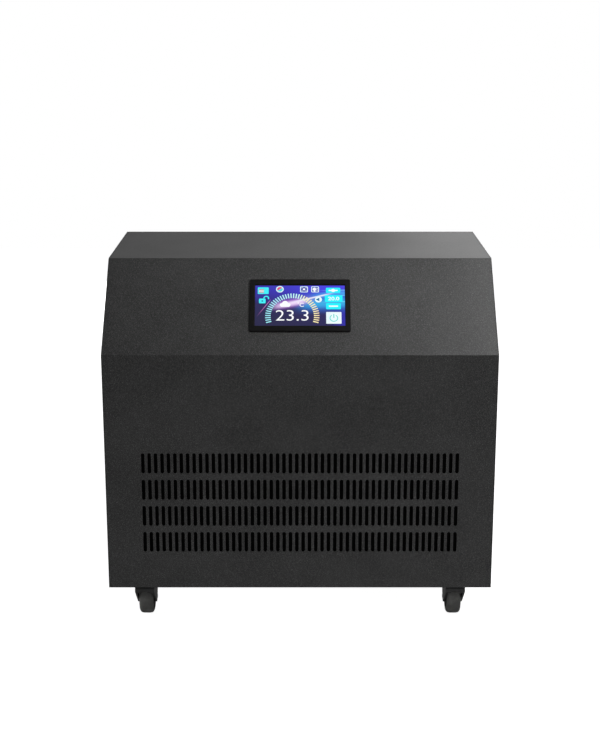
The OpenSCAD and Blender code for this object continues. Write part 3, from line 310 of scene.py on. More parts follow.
def moulded(name, colour, roughness, specular=0.5):  # sparked plastic with faint flow marks
    look, finish = plasticLook, Finish(name, ior=1.46, specular=specular)
    fine = finish.noise(look["grain"], 2, 0.6)
    flow = finish.noise(look["flow"], 2, 0.5, finish.where(look["run"]))
    tone = flow.span(0.3, 0.7) * 0.5 + fine.span(0.35, 0.65) * 0.5
    finish.feed("Base Color", finish.mix(tone, shade(*colour), shifted(colour, look["lift"])))
    finish.feed("Roughness", fine.span(0.3, 0.7, roughness - 0.05, roughness + 0.08))
    finish.bump(fine, look["depth"])
    return finish.material


zincLook = {"grain": 0.6 * mm, "lift": 34, "depth": 0.01 * mm}


def zincSteel(name, colour, roughness, size):  # large pale spangles, as on galvanised sheet
    look, finish = zincLook, Finish(name, metal=1.0)
    spangle = finish.cells(size, out="Color")
    tone = finish.node("ShaderNodeSeparateColor", {}, {0: spangle})
    fine = finish.noise(look["grain"], 3)
    finish.feed("Base Color", finish.mix(
        tone * 0.6 + fine * 0.4, shade(*colour), shifted(colour, look["lift"])))
    finish.feed("Roughness", tone * 0.14 + fine * 0.1 + roughness - 0.08)
    finish.bump(fine, look["depth"])
    return finish.material


latheLook = {"ring": 0.35 * mm, "round": 0.02, "stain": 12 * mm, "lift": -26, "depth": 0.012 * mm}


def turnedMetal(name, colour, roughness, axis):  # fine rings left by the lathe round one axis
    look, finish = latheLook, Finish(name, metal=1.0)
    squeeze = [look["round"]] * 3
    squeeze[axis] = 1
    rings = finish.noise(look["ring"], 2, 0.6, finish.where(tuple(squeeze)))
    stain = finish.noise(look["stain"], 3)
    finish.feed("Base Color", finish.mix(
        stain.span(0.3, 0.7) * 0.6 + rings * 0.4, shifted(colour, look["lift"]), shade(*colour)))
    finish.feed("Roughness", rings.span(0.3, 0.7, roughness - 0.06, roughness + 0.1) + stain * 0.06)
    finish.bump(rings, look["depth"])
    return finish.material


paintLook = {"waves": 2.6 * mm, "dust": 20 * mm, "lift": 22, "coatRough": 0.18}


def paintedSteel(name, colour, roughness, peel=0.03 * mm, coat=0.6):  # wet paint with a soft orange peel
    look, finish = paintLook, Finish(name, ior=1.5, coat=coat, coatRough=paintLook["coatRough"])
    waves = finish.noise(look["waves"], 1)
    dust = finish.noise(look["dust"], 4, 0.65)
    finish.feed("Base Color", finish.mix(
        dust.span(0.45, 0.75) * 0.35, shade(*colour), shifted(colour, look["lift"])))
    finish.feed("Roughness", dust.span(0.4, 0.8, roughness, roughness + 0.18))
    finish.bump(waves, peel)
    return finish.material


rubberLook = {"grain": 0.7 * mm, "bloom": 11 * mm, "paler": (1.3, 2), "depth": 0.03 * mm}


def softRubber(name, colour, roughness, sheen=0.15, specular=0.3):  # matt, with a faint pale bloom
    look, finish = rubberLook, Finish(name, ior=1.5, sheen=sheen, specular=specular)
    fine = finish.noise(look["grain"], 3, 0.6)
    bloom = finish.noise(look["bloom"], 3, 0.6)
    times, plus = look["paler"]
    finish.feed("Base Color", finish.mix(
        bloom.span(0.4, 0.75) * 0.6, shade(*colour), shade(*(v * times + plus for v in colour))))
    finish.feed("Roughness", fine.span(0.3, 0.7, roughness - 0.06, roughness + 0.08))
    finish.bump(fine, look["depth"])
    return finish.material


copperLook = {
    "stain": 14 * mm, "drawn": 0.9 * mm, "rough": (0.42, 0.24), "depth": 0.01 * mm,
    "tones": ((0.28, (142, 82, 54)), (0.5, (196, 122, 84)), (0.72, (222, 156, 116))),
}


def agedCopper():
    look, finish = copperLook, Finish("agedCopper", metal=1.0)
    stain = finish.noise(look["stain"], 4, 0.6, warp=0.6)
    drawn = finish.noise(look["drawn"], 2)
    finish.feed("Base Color", finish.ramp(stain, look["tones"]))
    finish.feed("Roughness", stain.span(0.3, 0.7, *look["rough"]) + drawn * 0.06)
    finish.bump(drawn, look["depth"])
    return finish.material


boardLook = {
    "line": (42, 128, 78), "ground": (18, 74, 44), "tracks": 6 * mm, "run": (1, 0.01, 1),
    "edge": (0.03, 0.08), "groove": (0.03, 0.09), "weave": 0.8 * mm, "rough": 0.3, "depth": 0.02 * mm,
}


def circuitBoard():
    look, finish = boardLook, Finish("circuitBoard", ior=1.5, coat=0.5, coatRough=0.2)
    weave = finish.noise(look["weave"], 1)
    tracks = finish.cells(look["tracks"], finish.where(look["run"]), "DISTANCE_TO_EDGE")
    finish.feed("Base Color", finish.mix(
        tracks.span(*look["edge"]), shade(*look["line"]), shade(*look["ground"])))
    finish.feed("Roughness", weave * 0.15 + look["rough"])
    finish.bump(tracks.span(*look["groove"]), look["depth"])
    return finish.material


finishes = {
    "cabinet_paint": powderCoat(),
    "screw_black": moulded("blackOxide", (24, 24, 25), 0.36),
    "bezel_plastic": moulded("satinBezel", (9, 9, 10), 0.5, 0.16),
    "screen_glass": moulded("darkGlass", (10, 12, 26), 0.12),
    "galvanised_steel": zincSteel("galvanisedSheet", (140, 143, 146), 0.42, 9 * mm),
    "circuit_board": circuitBoard(),
    "black_plastic": moulded("blackMoulding", (26, 26, 27), 0.46),
    "caster_steel": paintedSteel("casterSteel", (22, 22, 23), 0.46, 0.015 * mm, 0.2),
    "bright_steel": turnedMetal("brightSteel", (176, 178, 180), 0.3, 0),
    "wheel_nylon": moulded("wheelNylon", (46, 46, 46), 0.4),
    # painted light: the tread's colour is lifted well above the rubber's own, to make up for light that the
    # cabinet's shadow keeps off the casters
    "wheel_tread": softRubber("wheelTreadPaintedLight", (101, 101, 99), 0.6),
    "compressor_paint": paintedSteel("compressorPaint", (28, 28, 30), 0.28),
    "motor_paint": paintedSteel("motorPaint", (46, 82, 128), 0.4),
    "foot_rubber": softRubber("footRubber", (24, 24, 24), 0.7),
    # partly painted shade: the foam is black, and its colour, sheen and shine are pushed almost to nothing so
    # that the slots read as the shade inside the cabinet
    "filter_foam": softRubber("filterFoamPaintedShade", (3, 3, 3), 0.9, 0.0, 0.05),
    "hose_rubber": softRubber("hoseRubber", (26, 26, 28), 0.52),
    "fin_aluminium": zincSteel("finAluminium", (178, 181, 184), 0.34, 2 * mm),
    "copper": agedCopper(),
    "fan_plastic": moulded("fanPlastic", (32, 33, 35), 0.42),
    "shell_plastic": moulded("shellPlastic", (218, 221, 222), 0.4),
    "port_brass": turnedMetal("portBrass", (196, 160, 92), 0.28, 1),
}
print("finishes are mixed:", len(finishes))


# Mesh helpers

weldGap = 0.002 * mm
flatAngle = math.radians(0.4)             # faces that meet at less than this are made one face
edgeLook = {"segments": 2, "limit": 32}   # edges sharper than this many degrees are rounded


def finished(name, shape, slot, body="root", stands=(), finish=None, smooth=40):
    mesh = bpy.data.meshes.new(name)
    shape.to_mesh(mesh)
    shape.free()
    mesh.shade_smooth()
    mesh.set_sharp_from_angle(angle=math.radians(smooth))
    mesh.materials.append(finish or finishes[slot])
    piece = bpy.data.objects.new(name, mesh)
    bpy.context.scene.collection.objects.link(piece)
    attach(piece, body)
    if stands:
        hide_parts(*stands)
    return piece


def welded(name):  # a copy of a CAD node's loose triangles, joined up
    shape = bmesh.new()
    shape.from_mesh(nodes[name].data)
    bmesh.ops.remove_doubles(shape, verts=shape.verts, dist=weldGap)
    return shape


def merged(name):  # the same with its flat faces whole
    shape = welded(name)
    bmesh.ops.dissolve_limit(
        shape, angle_limit=flatAngle, use_dissolve_boundaries=False, verts=shape.verts, edges=shape.edges)
    return shape


def softened(name, width, mend=None):  # stands for a CAD node, with its edges rounded
    look, shape = edgeLook, merged(name)
    if mend:
        mend(shape, *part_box(name))
    piece = finished(name + ".soft", shape, slotOf[name], bodyOf[name], (name,), smooth=look["limit"])
    edges = piece.modifiers.new("edges", "BEVEL")
    edges.width, edges.segments, edges.profile = width, look["segments"], 0.5
    edges.limit_method, edges.angle_limit = "ANGLE", math.radians(look["limit"])
    edges.harden_normals = True
    edges.use_clamp_overlap = True


def lumps(name):  # lowest and highest corner of each separate solid in a CAD node
    shape = welded(name)
    left, found = set(shape.verts), []
    while left:
        group, queue = [], [left.pop()]
        while queue:
            vert = queue.pop()
            group.append(vert.co.copy())
            for edge in vert.link_edges:
                other = edge.other_vert(vert)
                if other in left:
                    left.discard(other)
                    queue.append(other)
        found.append(tuple(Vector(end(p[i] for p in group) for i in range(3)) for end in (min, max)))
    shape.free()
    return found


def lathe(shape, profile, place, steps=32):  # turns a line of (radius, height) points about the z axis
    before = set(shape.verts)
    verts = [shape.verts.new((radius, 0, height)) for radius, height in profile]
    edges = [shape.edges.new(pair) for pair in zip(verts, verts[1:])]
    bmesh.ops.spin(
        shape, geom=verts + edges, cent=(0, 0, 0), axis=(0, 0, 1), angle=2 * math.pi, steps=steps,
        use_merge=True)
    bmesh.ops.transform(shape, matrix=place, verts=[v for v in shape.verts if v not in before])


def block(shape, place, size):  # a plain bar that is one part of a larger piece
    bmesh.ops.create_cube(shape, size=1, matrix=place @ Matrix.Diagonal((*size, 1)))


def standing(place, toward):  # a frame at a place with its z axis pointing along a direction
    return Matrix.Translation(place) @ Vector(toward).to_track_quat("Z", "Y").to_matrix().to_4x4()


for name, node in nodes.items():
    for holder in node.material_slots:
        holder.material = finishes[slotOf[name]]
print("nodes are dressed:", len(nodes))


# Cabinet and castings

softEdges = {
    "front_panel": 0.35 * mm, "hood": 0.55 * mm, "left_side_panel": 0.5 * mm, "right_side_panel": 0.5 * mm,
    "rear_panel": 0.35 * mm, "base_tray": 0.5 * mm, "screen_bezel": 0.6 * mm,
    "rocker_housing": 0.35 * mm, "power_rocker": 0.3 * mm, "mains_gland": 0.35 * mm,
    "electrical_box": 0.3 * mm, "screen_housing": 0.5 * mm,
    "pump": 0.8 * mm, "pump_motor": 0.4 * mm, "heat_exchanger": 1.0 * mm, "terminal_cover": 0.6 * mm,
    "compressor": 0.5 * mm, "filter_drier": 0.5 * mm, "fan_motor": 0.4 * mm, "fan_blades": 0.4 * mm,
    "port_nuts": 0.5 * mm, "caster_plates": 0.3 * mm, "caster_bolts": 0.4 * mm,
}
casterEdges = {"fork": 0.35 * mm, "wheel": 0.35 * mm, "pedal": 0.3 * mm}
legSlit = {   # how far in from a fork's box the slit ends
    "front": 11.5 * mm, "back": 8.8 * mm, "top": 7.19 * mm, "bottom": 8.7 * mm,
    "lean": 0.02,   # the most that its walls lean out of square with the leg
}


def closeLegs(shape, low, high):  # fills the slit between a fork leg's top strip and its web
    near, far = low.y + legSlit["front"], high.y - legSlit["back"]
    bottom, top = high.z - legSlit["bottom"], high.z - legSlit["top"]
    walls = [f for f in shape.faces if abs(f.normal.x) < legSlit["lean"] and all(
        near < v.co.y < far and bottom < v.co.z < top for v in f.verts)]
    bmesh.ops.delete(shape, geom=walls, context="FACES")
    bmesh.ops.edgeloop_fill(shape, edges=[e for e in shape.edges if e.is_boundary])
    bmesh.ops.dissolve_limit(shape, angle_limit=flatAngle, verts=shape.verts, edges=shape.edges)
    bmesh.ops.recalc_face_normals(shape, faces=shape.faces)
    if any(not e.is_manifold for e in shape.edges):
        print("a fork leg is left open")


for name, width in softEdges.items():
    softened(name, width)
for corner in ("fl", "fr", "rl", "rr"):
    softened(f"caster_{corner}_fork", casterEdges["fork"], closeLegs)
    softened(f"caster_{corner}_wheel", casterEdges["wheel"])
for corner in ("fl", "fr"):
    softened(f"caster_{corner}_pedal", casterEdges["pedal"])
print("edges are softened")


# Screen glass

glassLook = {
    "centre": (0, -0.1325, 0.4685),     # middle of the control face, in metres
    "thick": 1.5,                       # from here on, places and widths are in millimetres on the glass
    "layer": 0.03, "gap": 0.01,         # a sign's thickness, and its height above the glass
    "step": 1.2,                        # thicknesses from one layer of signs to the next
    "colour": (7, 8, 14), "unlit": (3, 3, 5), "ior": 1.35,
    "sides": (-63.3, 63.3), "ends": (-34.6, 32.9), "edge": 0.1,   # the part that lights up
    "ground": ((0.05, (40, 38, 74)), (0.4, (44, 40, 92)), (0.7, (56, 50, 172)), (0.95, (72, 64, 224))),
    "groundUp": (-34, 34), "groundAcross": (-64, 70), "groundShares": (0.72, 0.32),
    "corner": (50, 46, 168), "cornerAcross": (38, 66), "cornerUp": (0, -12),
    "smear": 16 * mm, "rough": (0.08, 0.17),
    "signRough": 0.12, "reach": 140,    # the width over which a sign's colour runs
    "waver": 30 * mm, "waverShare": 0.01,
}
streaks = (   # height at the middle, slope and half width; where it starts and is full; where it fades
    {"line": (3, 0.05, 22), "start": (-18, 22), "strength": 0.95, "colour": (44, 124, 218)},
    {"line": (1, 0.05, 11), "start": (-12, 26), "strength": 0.85, "colour": (58, 178, 232)},
    {"line": (13, 0.12, 7), "start": (6, 40), "strength": 0.8, "colour": (74, 172, 244)},
    {"line": (6.2, 0.2, 12), "start": (-48, -20), "fade": (24, -8), "colour": (164, 104, 204)},
    {"line": (5.4, 0.22, 7), "start": (-44, -20), "fade": (24, -4), "colour": (238, 214, 248)},
    {"line": (7.6, 0.27, 2.2), "start": (-26, 4), "fade": (52, 30), "colour": (240, 238, 254)},
    {"line": (24, 0.02, 1.2), "start": (20, 58), "strength": 0.7, "colour": (128, 226, 250)},
    {"line": (11.5, 0.08, 1.2), "start": (20, 58), "strength": 0.7, "colour": (128, 226, 250)},
    {"line": (4, 0.03, 1.2), "start": (20, 58), "strength": 0.7, "colour": (128, 226, 250)},
    {"line": (69, 1.45, 1.5), "start": (-62, -47), "fade": (-40.5, -44), "colour": (206, 122, 196)},
)
diagonal = math.sqrt(0.5)
slopeFrame = Matrix.Translation(glassLook["centre"]) @ Matrix((
    (1, 0, 0, 0), (0, diagonal, -diagonal, 0), (0, diagonal, diagonal, 0), (0, 0, 0, 1)))


def displayGlass():
    look = glassLook
    finish = Finish("displayGlass", colour=shade(*look["colour"]), ior=look["ior"], glowStrength=1.0)
    x, y, z = [finish.axis(name) for name in "XYZ"]
    across = x * (1 / mm)
    up = (y - look["centre"][1] + (z - look["centre"][2])) * (diagonal / mm)
    upShare, acrossShare = look["groundShares"]
    ground = up.span(*look["groundUp"]) * upShare + across.span(*look["groundAcross"]) * acrossShare
    corner = across.span(*look["cornerAcross"]) * up.span(*look["cornerUp"])
    colour = finish.mix(corner, finish.ramp(ground, look["ground"]), shade(*look["corner"]))
    for streak in streaks:
        rise, tilt, width = streak["line"]
        glow = (abs(up - (across * tilt + rise)) / width).span(1, 0) * across.span(*streak["start"])
        if "fade" in streak:
            glow = glow * across.span(*streak["fade"])
        colour = finish.mix(glow * streak.get("strength", 1), colour, shade(*streak["colour"]))
    inside = 1.0
    for place, (low, high) in ((across, look["sides"]), (up, look["ends"])):
        inside = place.span(low - look["edge"], low + look["edge"]) * inside
        inside = place.span(high + look["edge"], high - look["edge"]) * inside
    finish.feed("Emission Color", finish.mix(inside, shade(*look["unlit"]), colour))
    smear = finish.noise(look["smear"], 4, 0.6)
    finish.feed("Roughness", smear.span(0.45, 0.75, *look["rough"]))
    return finish.material


def lit(name, *stops):  # a sign that glows, with its colour running from left to right in millimetres
    look = glassLook
    finish = Finish(
        name, colour=shade(*look["colour"]), rough=look["signRough"], ior=look["ior"], glowStrength=1.0)
    waver = finish.noise(look["waver"], 1) * look["waverShare"] + (0.5 - look["waverShare"] / 2)
    along = finish.axis("X") * (1 / mm / look["reach"]) + waver
    finish.feed("Emission Color", finish.ramp(
        along, [(place / look["reach"] + 0.5, colour) for place, colour in stops]))
    return finish.material


# Screen signs

signLook = {   # in millimetres from the middle of the glass
    "gauge": {"centre": (-10.8, -18.6), "inner": 30.4, "outer": 38.1, "from": -16, "to": 196,
              "ticks": 36, "width": 1.7},
    "reading": {"text": "23.3", "centre": (-11, -17.1), "size": (46, 17.6), "stroke": -0.006},
    "wanted": {"text": "20.0", "centre": (47.5, 11), "size": (15.8, 6.0), "stroke": 0.018},
    "unit": {"text": "C", "centre": (2.4, 0.4), "size": (6.2, 6.4), "stroke": 0.012},
    "degree": (-2.4, 3.6, 0.5, 1.1),
    "cloud": ((-21, 3, 4.1), (-25.6, 0.4, 2.9), (-16.4, 0.4, 3.1)), "cloudBase": (-21, -1.2, 13, 3.4, 1.5),
    "buttons": ((46.9, 24.9, 20.4, 8.6, 1.2), (47.5, 11, 25, 11.4, 1.2), (47.1, -1.8, 20.9, 10.2, 1.2)),
    "plus": ((46.9, 24.7, 13, 1.9, 0.9), (46.9, 24.7, 2.7)), "minus": (47.1, -1.8, 12.8, 2.2, 0.4),
    "card": (-52, 24.3, 15.4, 11.2, 1), "cardLines": (-54.6, (25, 22.4), 7, 1.2, 0.4),
    "cardRows": (-54.6, (26.4, 23.7, 20.9), 7.4, 1.1, 0.4),
    "lock": (-53.2, 7, 9.4, 8, 1.6), "shackle": (-47.6, 11.6, 2.4, 4.1, -30, 190),
    "keyhole": (-53.2, 6.8, 1.1),
    "power": (47.4, -21.2, 21.4, 19.4, 1), "powerRing": (47.4, -21.6, 4.7, 6.0, 122, 418),
    "powerBar": (47.4, -18, 1.4, 6.6, 0.4),
    "frames": (5.7, 21.4), "frameOutside": (26.5, 11, 10, 1.6), "frameInside": (26.5, 8.8, 7.9, 1),
    "sun": (5.7, 26.5, 1.7), "sunDots": (2.9, 2.6, 0.7),
    "lamp": (20.4, 26.8, 2.6), "lampBase": (20.6, 24.2, 2.4, 3), "lampDots": (24.2, (27.8, 25.2), 0.8),
    "badge": (-28.5, 26.7), "badgeRing": (3.9, 5.5), "badgeDisc": (0.05, 3.8), "badgeTurn": 35,
    "puck": (26, 9.4, 5), "pointer": (25.6, 9.4, 3.3),
}


def placed(u, v, turn=0.0):
    return Matrix.Translation((u, v, 0)) @ Matrix.Rotation(math.radians(turn), 4, "Z")


def card(flat, u, v, width, height, corner=0.0, turn=0.0):
    made = bmesh.ops.create_grid(
        flat, x_segments=1, y_segments=1, size=0.5,
        matrix=placed(u, v, turn) @ Matrix.Diagonal((width, height, 1, 1)))["verts"]
    if corner:
        bmesh.ops.bevel(
            flat, geom=made, offset=corner, segments=4, profile=0.5, affect="VERTICES", material=-1)


def disc(flat, u, v, radius, sides=28, turn=0.0):
    bmesh.ops.create_circle(flat, cap_ends=True, segments=sides, radius=radius, matrix=placed(u, v, turn))


def arc(flat, u, v, inner, outer, start=0, stop=360, steps=28):
    ends = [flat.verts.new(placed(u, v, start) @ Vector((r, 0, 0))) for r in (inner, outer)]
    bmesh.ops.spin(
        flat, geom=ends + [flat.edges.new(ends)], cent=(u, v, 0), axis=(0, 0, 1),
        angle=math.radians(stop - start), steps=steps)
    bmesh.ops.remove_doubles(flat, verts=flat.verts, dist=0.001)


def words(flat, text, centre, size, stroke):  # a negative stroke thins the letters
    curve = bpy.data.curves.new("letters", "FONT")
    curve.body, curve.resolution_u, curve.offset = text, 4, stroke
    holder = bpy.data.objects.new("letters", curve)
    bpy.context.scene.collection.objects.link(holder)
    mesh = bpy.data.meshes.new_from_object(holder.evaluated_get(bpy.context.evaluated_depsgraph_get()))
    spans = [(min(v.co[i] for v in mesh.vertices), max(v.co[i] for v in mesh.vertices)) for i in (0, 1)]
    fit = [size[i] / (spans[i][1] - spans[i][0]) for i in (0, 1)]
    mesh.transform(
        Matrix.Translation((*centre, 0)) @ Matrix.Diagonal((*fit, 1, 1))
        @ Matrix.Translation((-sum(spans[0]) / 2, -sum(spans[1]) / 2, 0)))
    flat.from_mesh(mesh)
    bpy.data.objects.remove(holder)
    bpy.data.meshes.remove(mesh)


def sign(name, flat, layer, material):  # gives flat shapes, drawn in millimetres, a thickness on the glass
    look = glassLook
    bmesh.ops.remove_doubles(flat, verts=flat.verts, dist=0.0005)
    grown = bmesh.ops.extrude_face_region(flat, geom=flat.faces[:])["geom"]
    front = [g for g in grown if isinstance(g, bmesh.types.BMVert)]
    bmesh.ops.translate(flat, vec=(0, 0, look["layer"]), verts=front)
    bmesh.ops.recalc_face_normals(flat, faces=flat.faces)
    lift = look["thick"] + look["gap"] + (layer - 1) * look["layer"] * look["step"]
    place = slopeFrame @ Matrix.Scale(mm, 4) @ Matrix.Translation((0, 0, lift))
    bmesh.ops.transform(flat, matrix=place, verts=flat.verts)
    finished(name, flat, "screen_glass", finish=material)


def layGauge():
    gauge, flat = signLook["gauge"], bmesh.new()
    step = (gauge["to"] - gauge["from"]) / (gauge["ticks"] - 1)
    middle, length = (gauge["inner"] + gauge["outer"]) / 2, gauge["outer"] - gauge["inner"]
    for tick in range(gauge["ticks"]):
        angle = gauge["from"] + tick * step
        u = gauge["centre"][0] + middle * math.cos(math.radians(angle))
        v = gauge["centre"][1] + middle * math.sin(math.radians(angle))
        card(flat, u, v, length, gauge["width"], turn=angle)
    sign("screen.gauge", flat, 1, lit(
        "litGauge", (-50, (150, 228, 240)), (-30, (176, 240, 250)), (-2, (206, 250, 240)),
        (8, (246, 246, 186)), (20, (252, 240, 178)), (28, (250, 222, 176))))


def layReading(white):
    look, flat = signLook, bmesh.new()
    words(flat, **look["reading"])
    words(flat, **look["unit"])
    arc(flat, *look["degree"])
    for puff in look["cloud"]:
        disc(flat, *puff)
    card(flat, *look["cloudBase"])
    sign("screen.reading", flat, 1, white)


def layButtons():  # the cyan buttons, card and lock, and the pale buttons, frames, badge and puck
    look, flat = signLook, bmesh.new()
    for button in look["buttons"]:
        card(flat, *button)
    card(flat, *look["card"])
    card(flat, *look["lock"])
    arc(flat, *look["shackle"])
    sign("screen.buttons", flat, 1, lit("litCyan", (-60, (66, 240, 248)), (40, (30, 244, 255))))

    flat = bmesh.new()
    card(flat, *look["power"])
    for u in look["frames"]:
        card(flat, u, *look["frameOutside"])
    arc(flat, *look["badge"], *look["badgeRing"])
    disc(flat, *look["puck"])
    sign("screen.pale", flat, 1, lit("litPale", (-60, (206, 244, 250)), (60, (240, 252, 255))))


def layMarks(white):  # the white marks on the buttons, and the dark insides of the frames
    look, flat = signLook, bmesh.new()
    words(flat, **look["wanted"])
    card(flat, *look["plus"][0])
    disc(flat, *look["plus"][1])
    card(flat, *look["minus"])
    u, rows, *size = look["cardLines"]
    for v in rows:
        card(flat, u, v, *size)
    sign("screen.marks", flat, 2, white)

    flat = bmesh.new()
    for u in look["frames"]:
        card(flat, u, *look["frameInside"])
    disc(flat, *look["keyhole"])
    sign("screen.hollows", flat, 2, lit("litIndigo", (-60, (40, 70, 140)), (60, (60, 70, 190))))


def layColours():  # the power ring, and the two halves of the badge's disc
    look, flat = signLook, bmesh.new()
    half = look["badgeTurn"] + 180
    arc(flat, *look["powerRing"])
    card(flat, *look["powerBar"])
    arc(flat, *look["badge"], *look["badgeDisc"], half, half + 180)
    sign("screen.power", flat, 2, lit("litAqua", (-60, (70, 214, 232)), (60, (96, 222, 206))))

    flat = bmesh.new()
    arc(flat, *look["badge"], *look["badgeDisc"], look["badgeTurn"], half)
    u, rows, *size = look["cardRows"]
    for v in rows:
        card(flat, u, v, *size)
    sign("screen.warm", flat, 2, lit(
        "litRose", (-60, (170, 84, 84)), (-28, (226, 76, 128)), (60, (226, 76, 128))))


def laySymbols(white):  # a sun and a lamp in the frames, and the pointer on its puck
    look, flat = signLook, bmesh.new()
    disc(flat, *look["sun"])
    aside, above, radius = look["sunDots"]
    for v in (above, -above):
        for u in (-aside, aside):
            disc(flat, look["sun"][0] + u, look["sun"][1] + v, radius, 12)
    disc(flat, *look["lamp"])
    card(flat, *look["lampBase"])
    u, rows, radius = look["lampDots"]
    for v in rows:
        disc(flat, u, v, radius, 12)
    sign("screen.symbols", flat, 3, white)

    flat = bmesh.new()
    disc(flat, *look["pointer"], 3, 90)
    sign("screen.pointer", flat, 2, lit("litTeal", (-60, (30, 110, 150)), (60, (30, 116, 168))))


displayFinish = displayGlass()
for holder in nodes["screen_glass"].material_slots:
    holder.material = displayFinish
litWhite = lit("litWhite", (-60, (250, 252, 255)), (60, (250, 252, 255)))
layGauge()
layReading(litWhite)
layButtons()
layMarks(litWhite)
layColours()
laySymbols(litWhite)
print("screen signs are laid")


# Fasteners and fittings

screwLook = {
    "shank": 2.0 * mm, "long": 9 * mm, "head": 4.0 * mm, "rise": 2.2 * mm, "sides": 24,
    "dome": ((1, 0), (1, 0.35), (0.86, 0.78), (0.56, 1)),   # as shares of the head's radius and rise
    "socket": 1.45 * mm, "deep": 1.3 * mm, "socketSides": 6,
}


def driveScrews():
    look, shape = screwLook, bmesh.new()
    profile = [(look["shank"], -look["long"], look["sides"]), (look["shank"], 0, look["sides"])]
    profile += [(look["head"] * r, look["rise"] * h, look["sides"]) for r, h in look["dome"]]
    profile += [(look["socket"], look["rise"] - deep, look["socketSides"]) for deep in (0, look["deep"])]
    for low, high in lumps("panel_screws"):
        middle, size = (low + high) / 2, high - low
        if size.x > size.z:   # a screw in a side panel
            outward = Vector((math.copysign(1, middle.x), 0, 0))
            seat = Vector((math.copysign(max(abs(low.x), abs(high.x)), middle.x), middle.y, middle.z))
        else:
            outward, seat = Vector((0, 1, 0)), Vector((middle.x, high.y, middle.z))
        place = standing(seat - outward * look["rise"], outward)
        loops = []
        for radius, height, sides in profile:
            ring = bmesh.ops.create_circle(
                shape, segments=sides, radius=radius,
                matrix=place @ Matrix.Translation((0, 0, height)))["verts"]
            edges = list({e for v in ring for e in v.link_edges})
            if loops:
                bmesh.ops.bridge_loops(shape, edges=loops[-1] + edges)
            loops.append(edges)
        bmesh.ops.edgeloop_fill(shape, edges=loops[0])
        bmesh.ops.edgeloop_fill(shape, edges=loops[-1])
    bmesh.ops.recalc_face_normals(shape, faces=shape.faces)
    finished("panelScrews", shape, "screw_black", stands=("panel_screws",), smooth=35)


threadLook = {   # its root is 0.1 mm inside the port's skin
    "root": 13.1 * mm, "crest": 14.1 * mm, "pitch": 2.3 * mm, "tip": 0.15, "start": 167.2 * mm,
    "turns": 8.2, "steps": 40,
}


def cutThreads():  # a ridge wound round each port, on the bare brass of the CAD node
    look, shape = threadLook, bmesh.new()
    half, root, crest = look["pitch"] / 2, look["root"], look["crest"]
    for name in ("inlet_port", "outlet_port"):
        low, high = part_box(name)
        x, z = (low.x + high.x) / 2, (low.z + high.z) / 2
        corners = ((root, -half), (crest, -look["tip"] * half), (crest, look["tip"] * half), (root, half))
        ridge = shape.faces.new([shape.verts.new((x + r, look["start"] + t, z)) for r, t in corners])
        bmesh.ops.spin(
            shape, geom=[ridge], cent=(x, 0, z), axis=(0, 1, 0), angle=2 * math.pi * look["turns"],
            steps=int(look["turns"] * look["steps"]), dvec=(0, look["pitch"] / look["steps"], 0))
    bmesh.ops.recalc_face_normals(shape, faces=shape.faces)
    finished("portThreads", shape, "port_brass", smooth=30)


gripLook = {
    "ribs": 20, "radius": 9.4 * mm, "from": 167.2 * mm, "rib": (1.2 * mm, 8 * mm, 1.1 * mm),
    "round": 0.25 * mm,
}
sealLook = {
    "bore": 3.6 * mm, "outer": 4.8 * mm, "lip": 4.1 * mm, "long": 5 * mm, "bevel": 0.8 * mm,
    "inset": 5.4 * mm,   # where it starts, in from the gland's end
}


def fitGland():
    look, shape = gripLook, bmesh.new()
    low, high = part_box("mains_gland")
    x, z = (low.x + high.x) / 2, (low.z + high.z) / 2
    for k in range(look["ribs"]):
        turn = Matrix.Rotation(k * 2 * math.pi / look["ribs"], 4, "Y")
        place = Matrix.Translation((x, look["from"] + look["rib"][1] / 2, z)) @ turn
        block(shape, place @ Matrix.Translation((look["radius"], 0, 0)), look["rib"])
    bmesh.ops.bevel(
        shape, geom=shape.edges[:], offset=look["round"], segments=1, profile=0.5, affect="EDGES",
        material=-1)
    finished("glandGrip", shape, "black_plastic")

    look, shape = sealLook, bmesh.new()
    lathe(shape, (
        (look["bore"], 0), (look["outer"], 0), (look["outer"], look["long"]), (look["lip"], look["long"]),
        (look["bore"], look["long"] - look["bevel"]), (look["bore"], 0)),
        standing((x, high.y - look["inset"], z), (0, 1, 0)))
    bmesh.ops.recalc_face_normals(shape, faces=shape.faces)
    finished("glandSeal", shape, "foot_rubber")


rockerLook = {
    "ring": (0, -4.9, 1.35, 1.85), "bar": (0, 4.9, 0.55, 3.4),   # in millimetres on the rocker
    "proud": 0.12 * mm, "sunk": 0.1 * mm, "colour": (206, 206, 204), "rough": 0.5,
    "reach": 20 * mm,   # how far behind the rocker its face is looked for
}


def markRocker():  # a ring and a bar that follow the rocker's curved face
    look = rockerLook
    low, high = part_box("power_rocker")
    x, middle = (low.x + high.x) / 2, (low.z + high.z) / 2
    source = merged("power_rocker")
    tree = BVHTree.FromBMesh(source)
    shape = bmesh.new()
    arc(shape, *look["ring"])
    card(shape, *look["bar"])
    bmesh.ops.subdivide_edges(shape, edges=shape.edges[:], cuts=1)
    grown = bmesh.ops.extrude_face_region(shape, geom=shape.faces[:])["geom"]
    front = [g for g in grown if isinstance(g, bmesh.types.BMVert)]
    for vert in shape.verts:
        place = Vector((x + vert.co.x * mm, high.y + look["reach"], middle + vert.co.y * mm))
        hit, normal = tree.ray_cast(place, Vector((0, -1, 0)))[:2]
        vert.co = hit + normal * (look["proud"] if vert in front else -look["sunk"])
    source.free()
    bmesh.ops.recalc_face_normals(shape, faces=shape.faces)
    white = moulded("markWhite", look["colour"], look["rough"])
    finished("rockerMarks", shape, "black_plastic", "rocker", finish=white)


clampLook = {
    "inner": 12.05 * mm, "outer": 12.95 * mm, "width": 9 * mm, "inset": 8 * mm, "bend": 12 * mm,
    "screw": 3.1 * mm, "screwLong": 12 * mm, "screwUp": 1.6 * mm, "screwSides": 16,
}


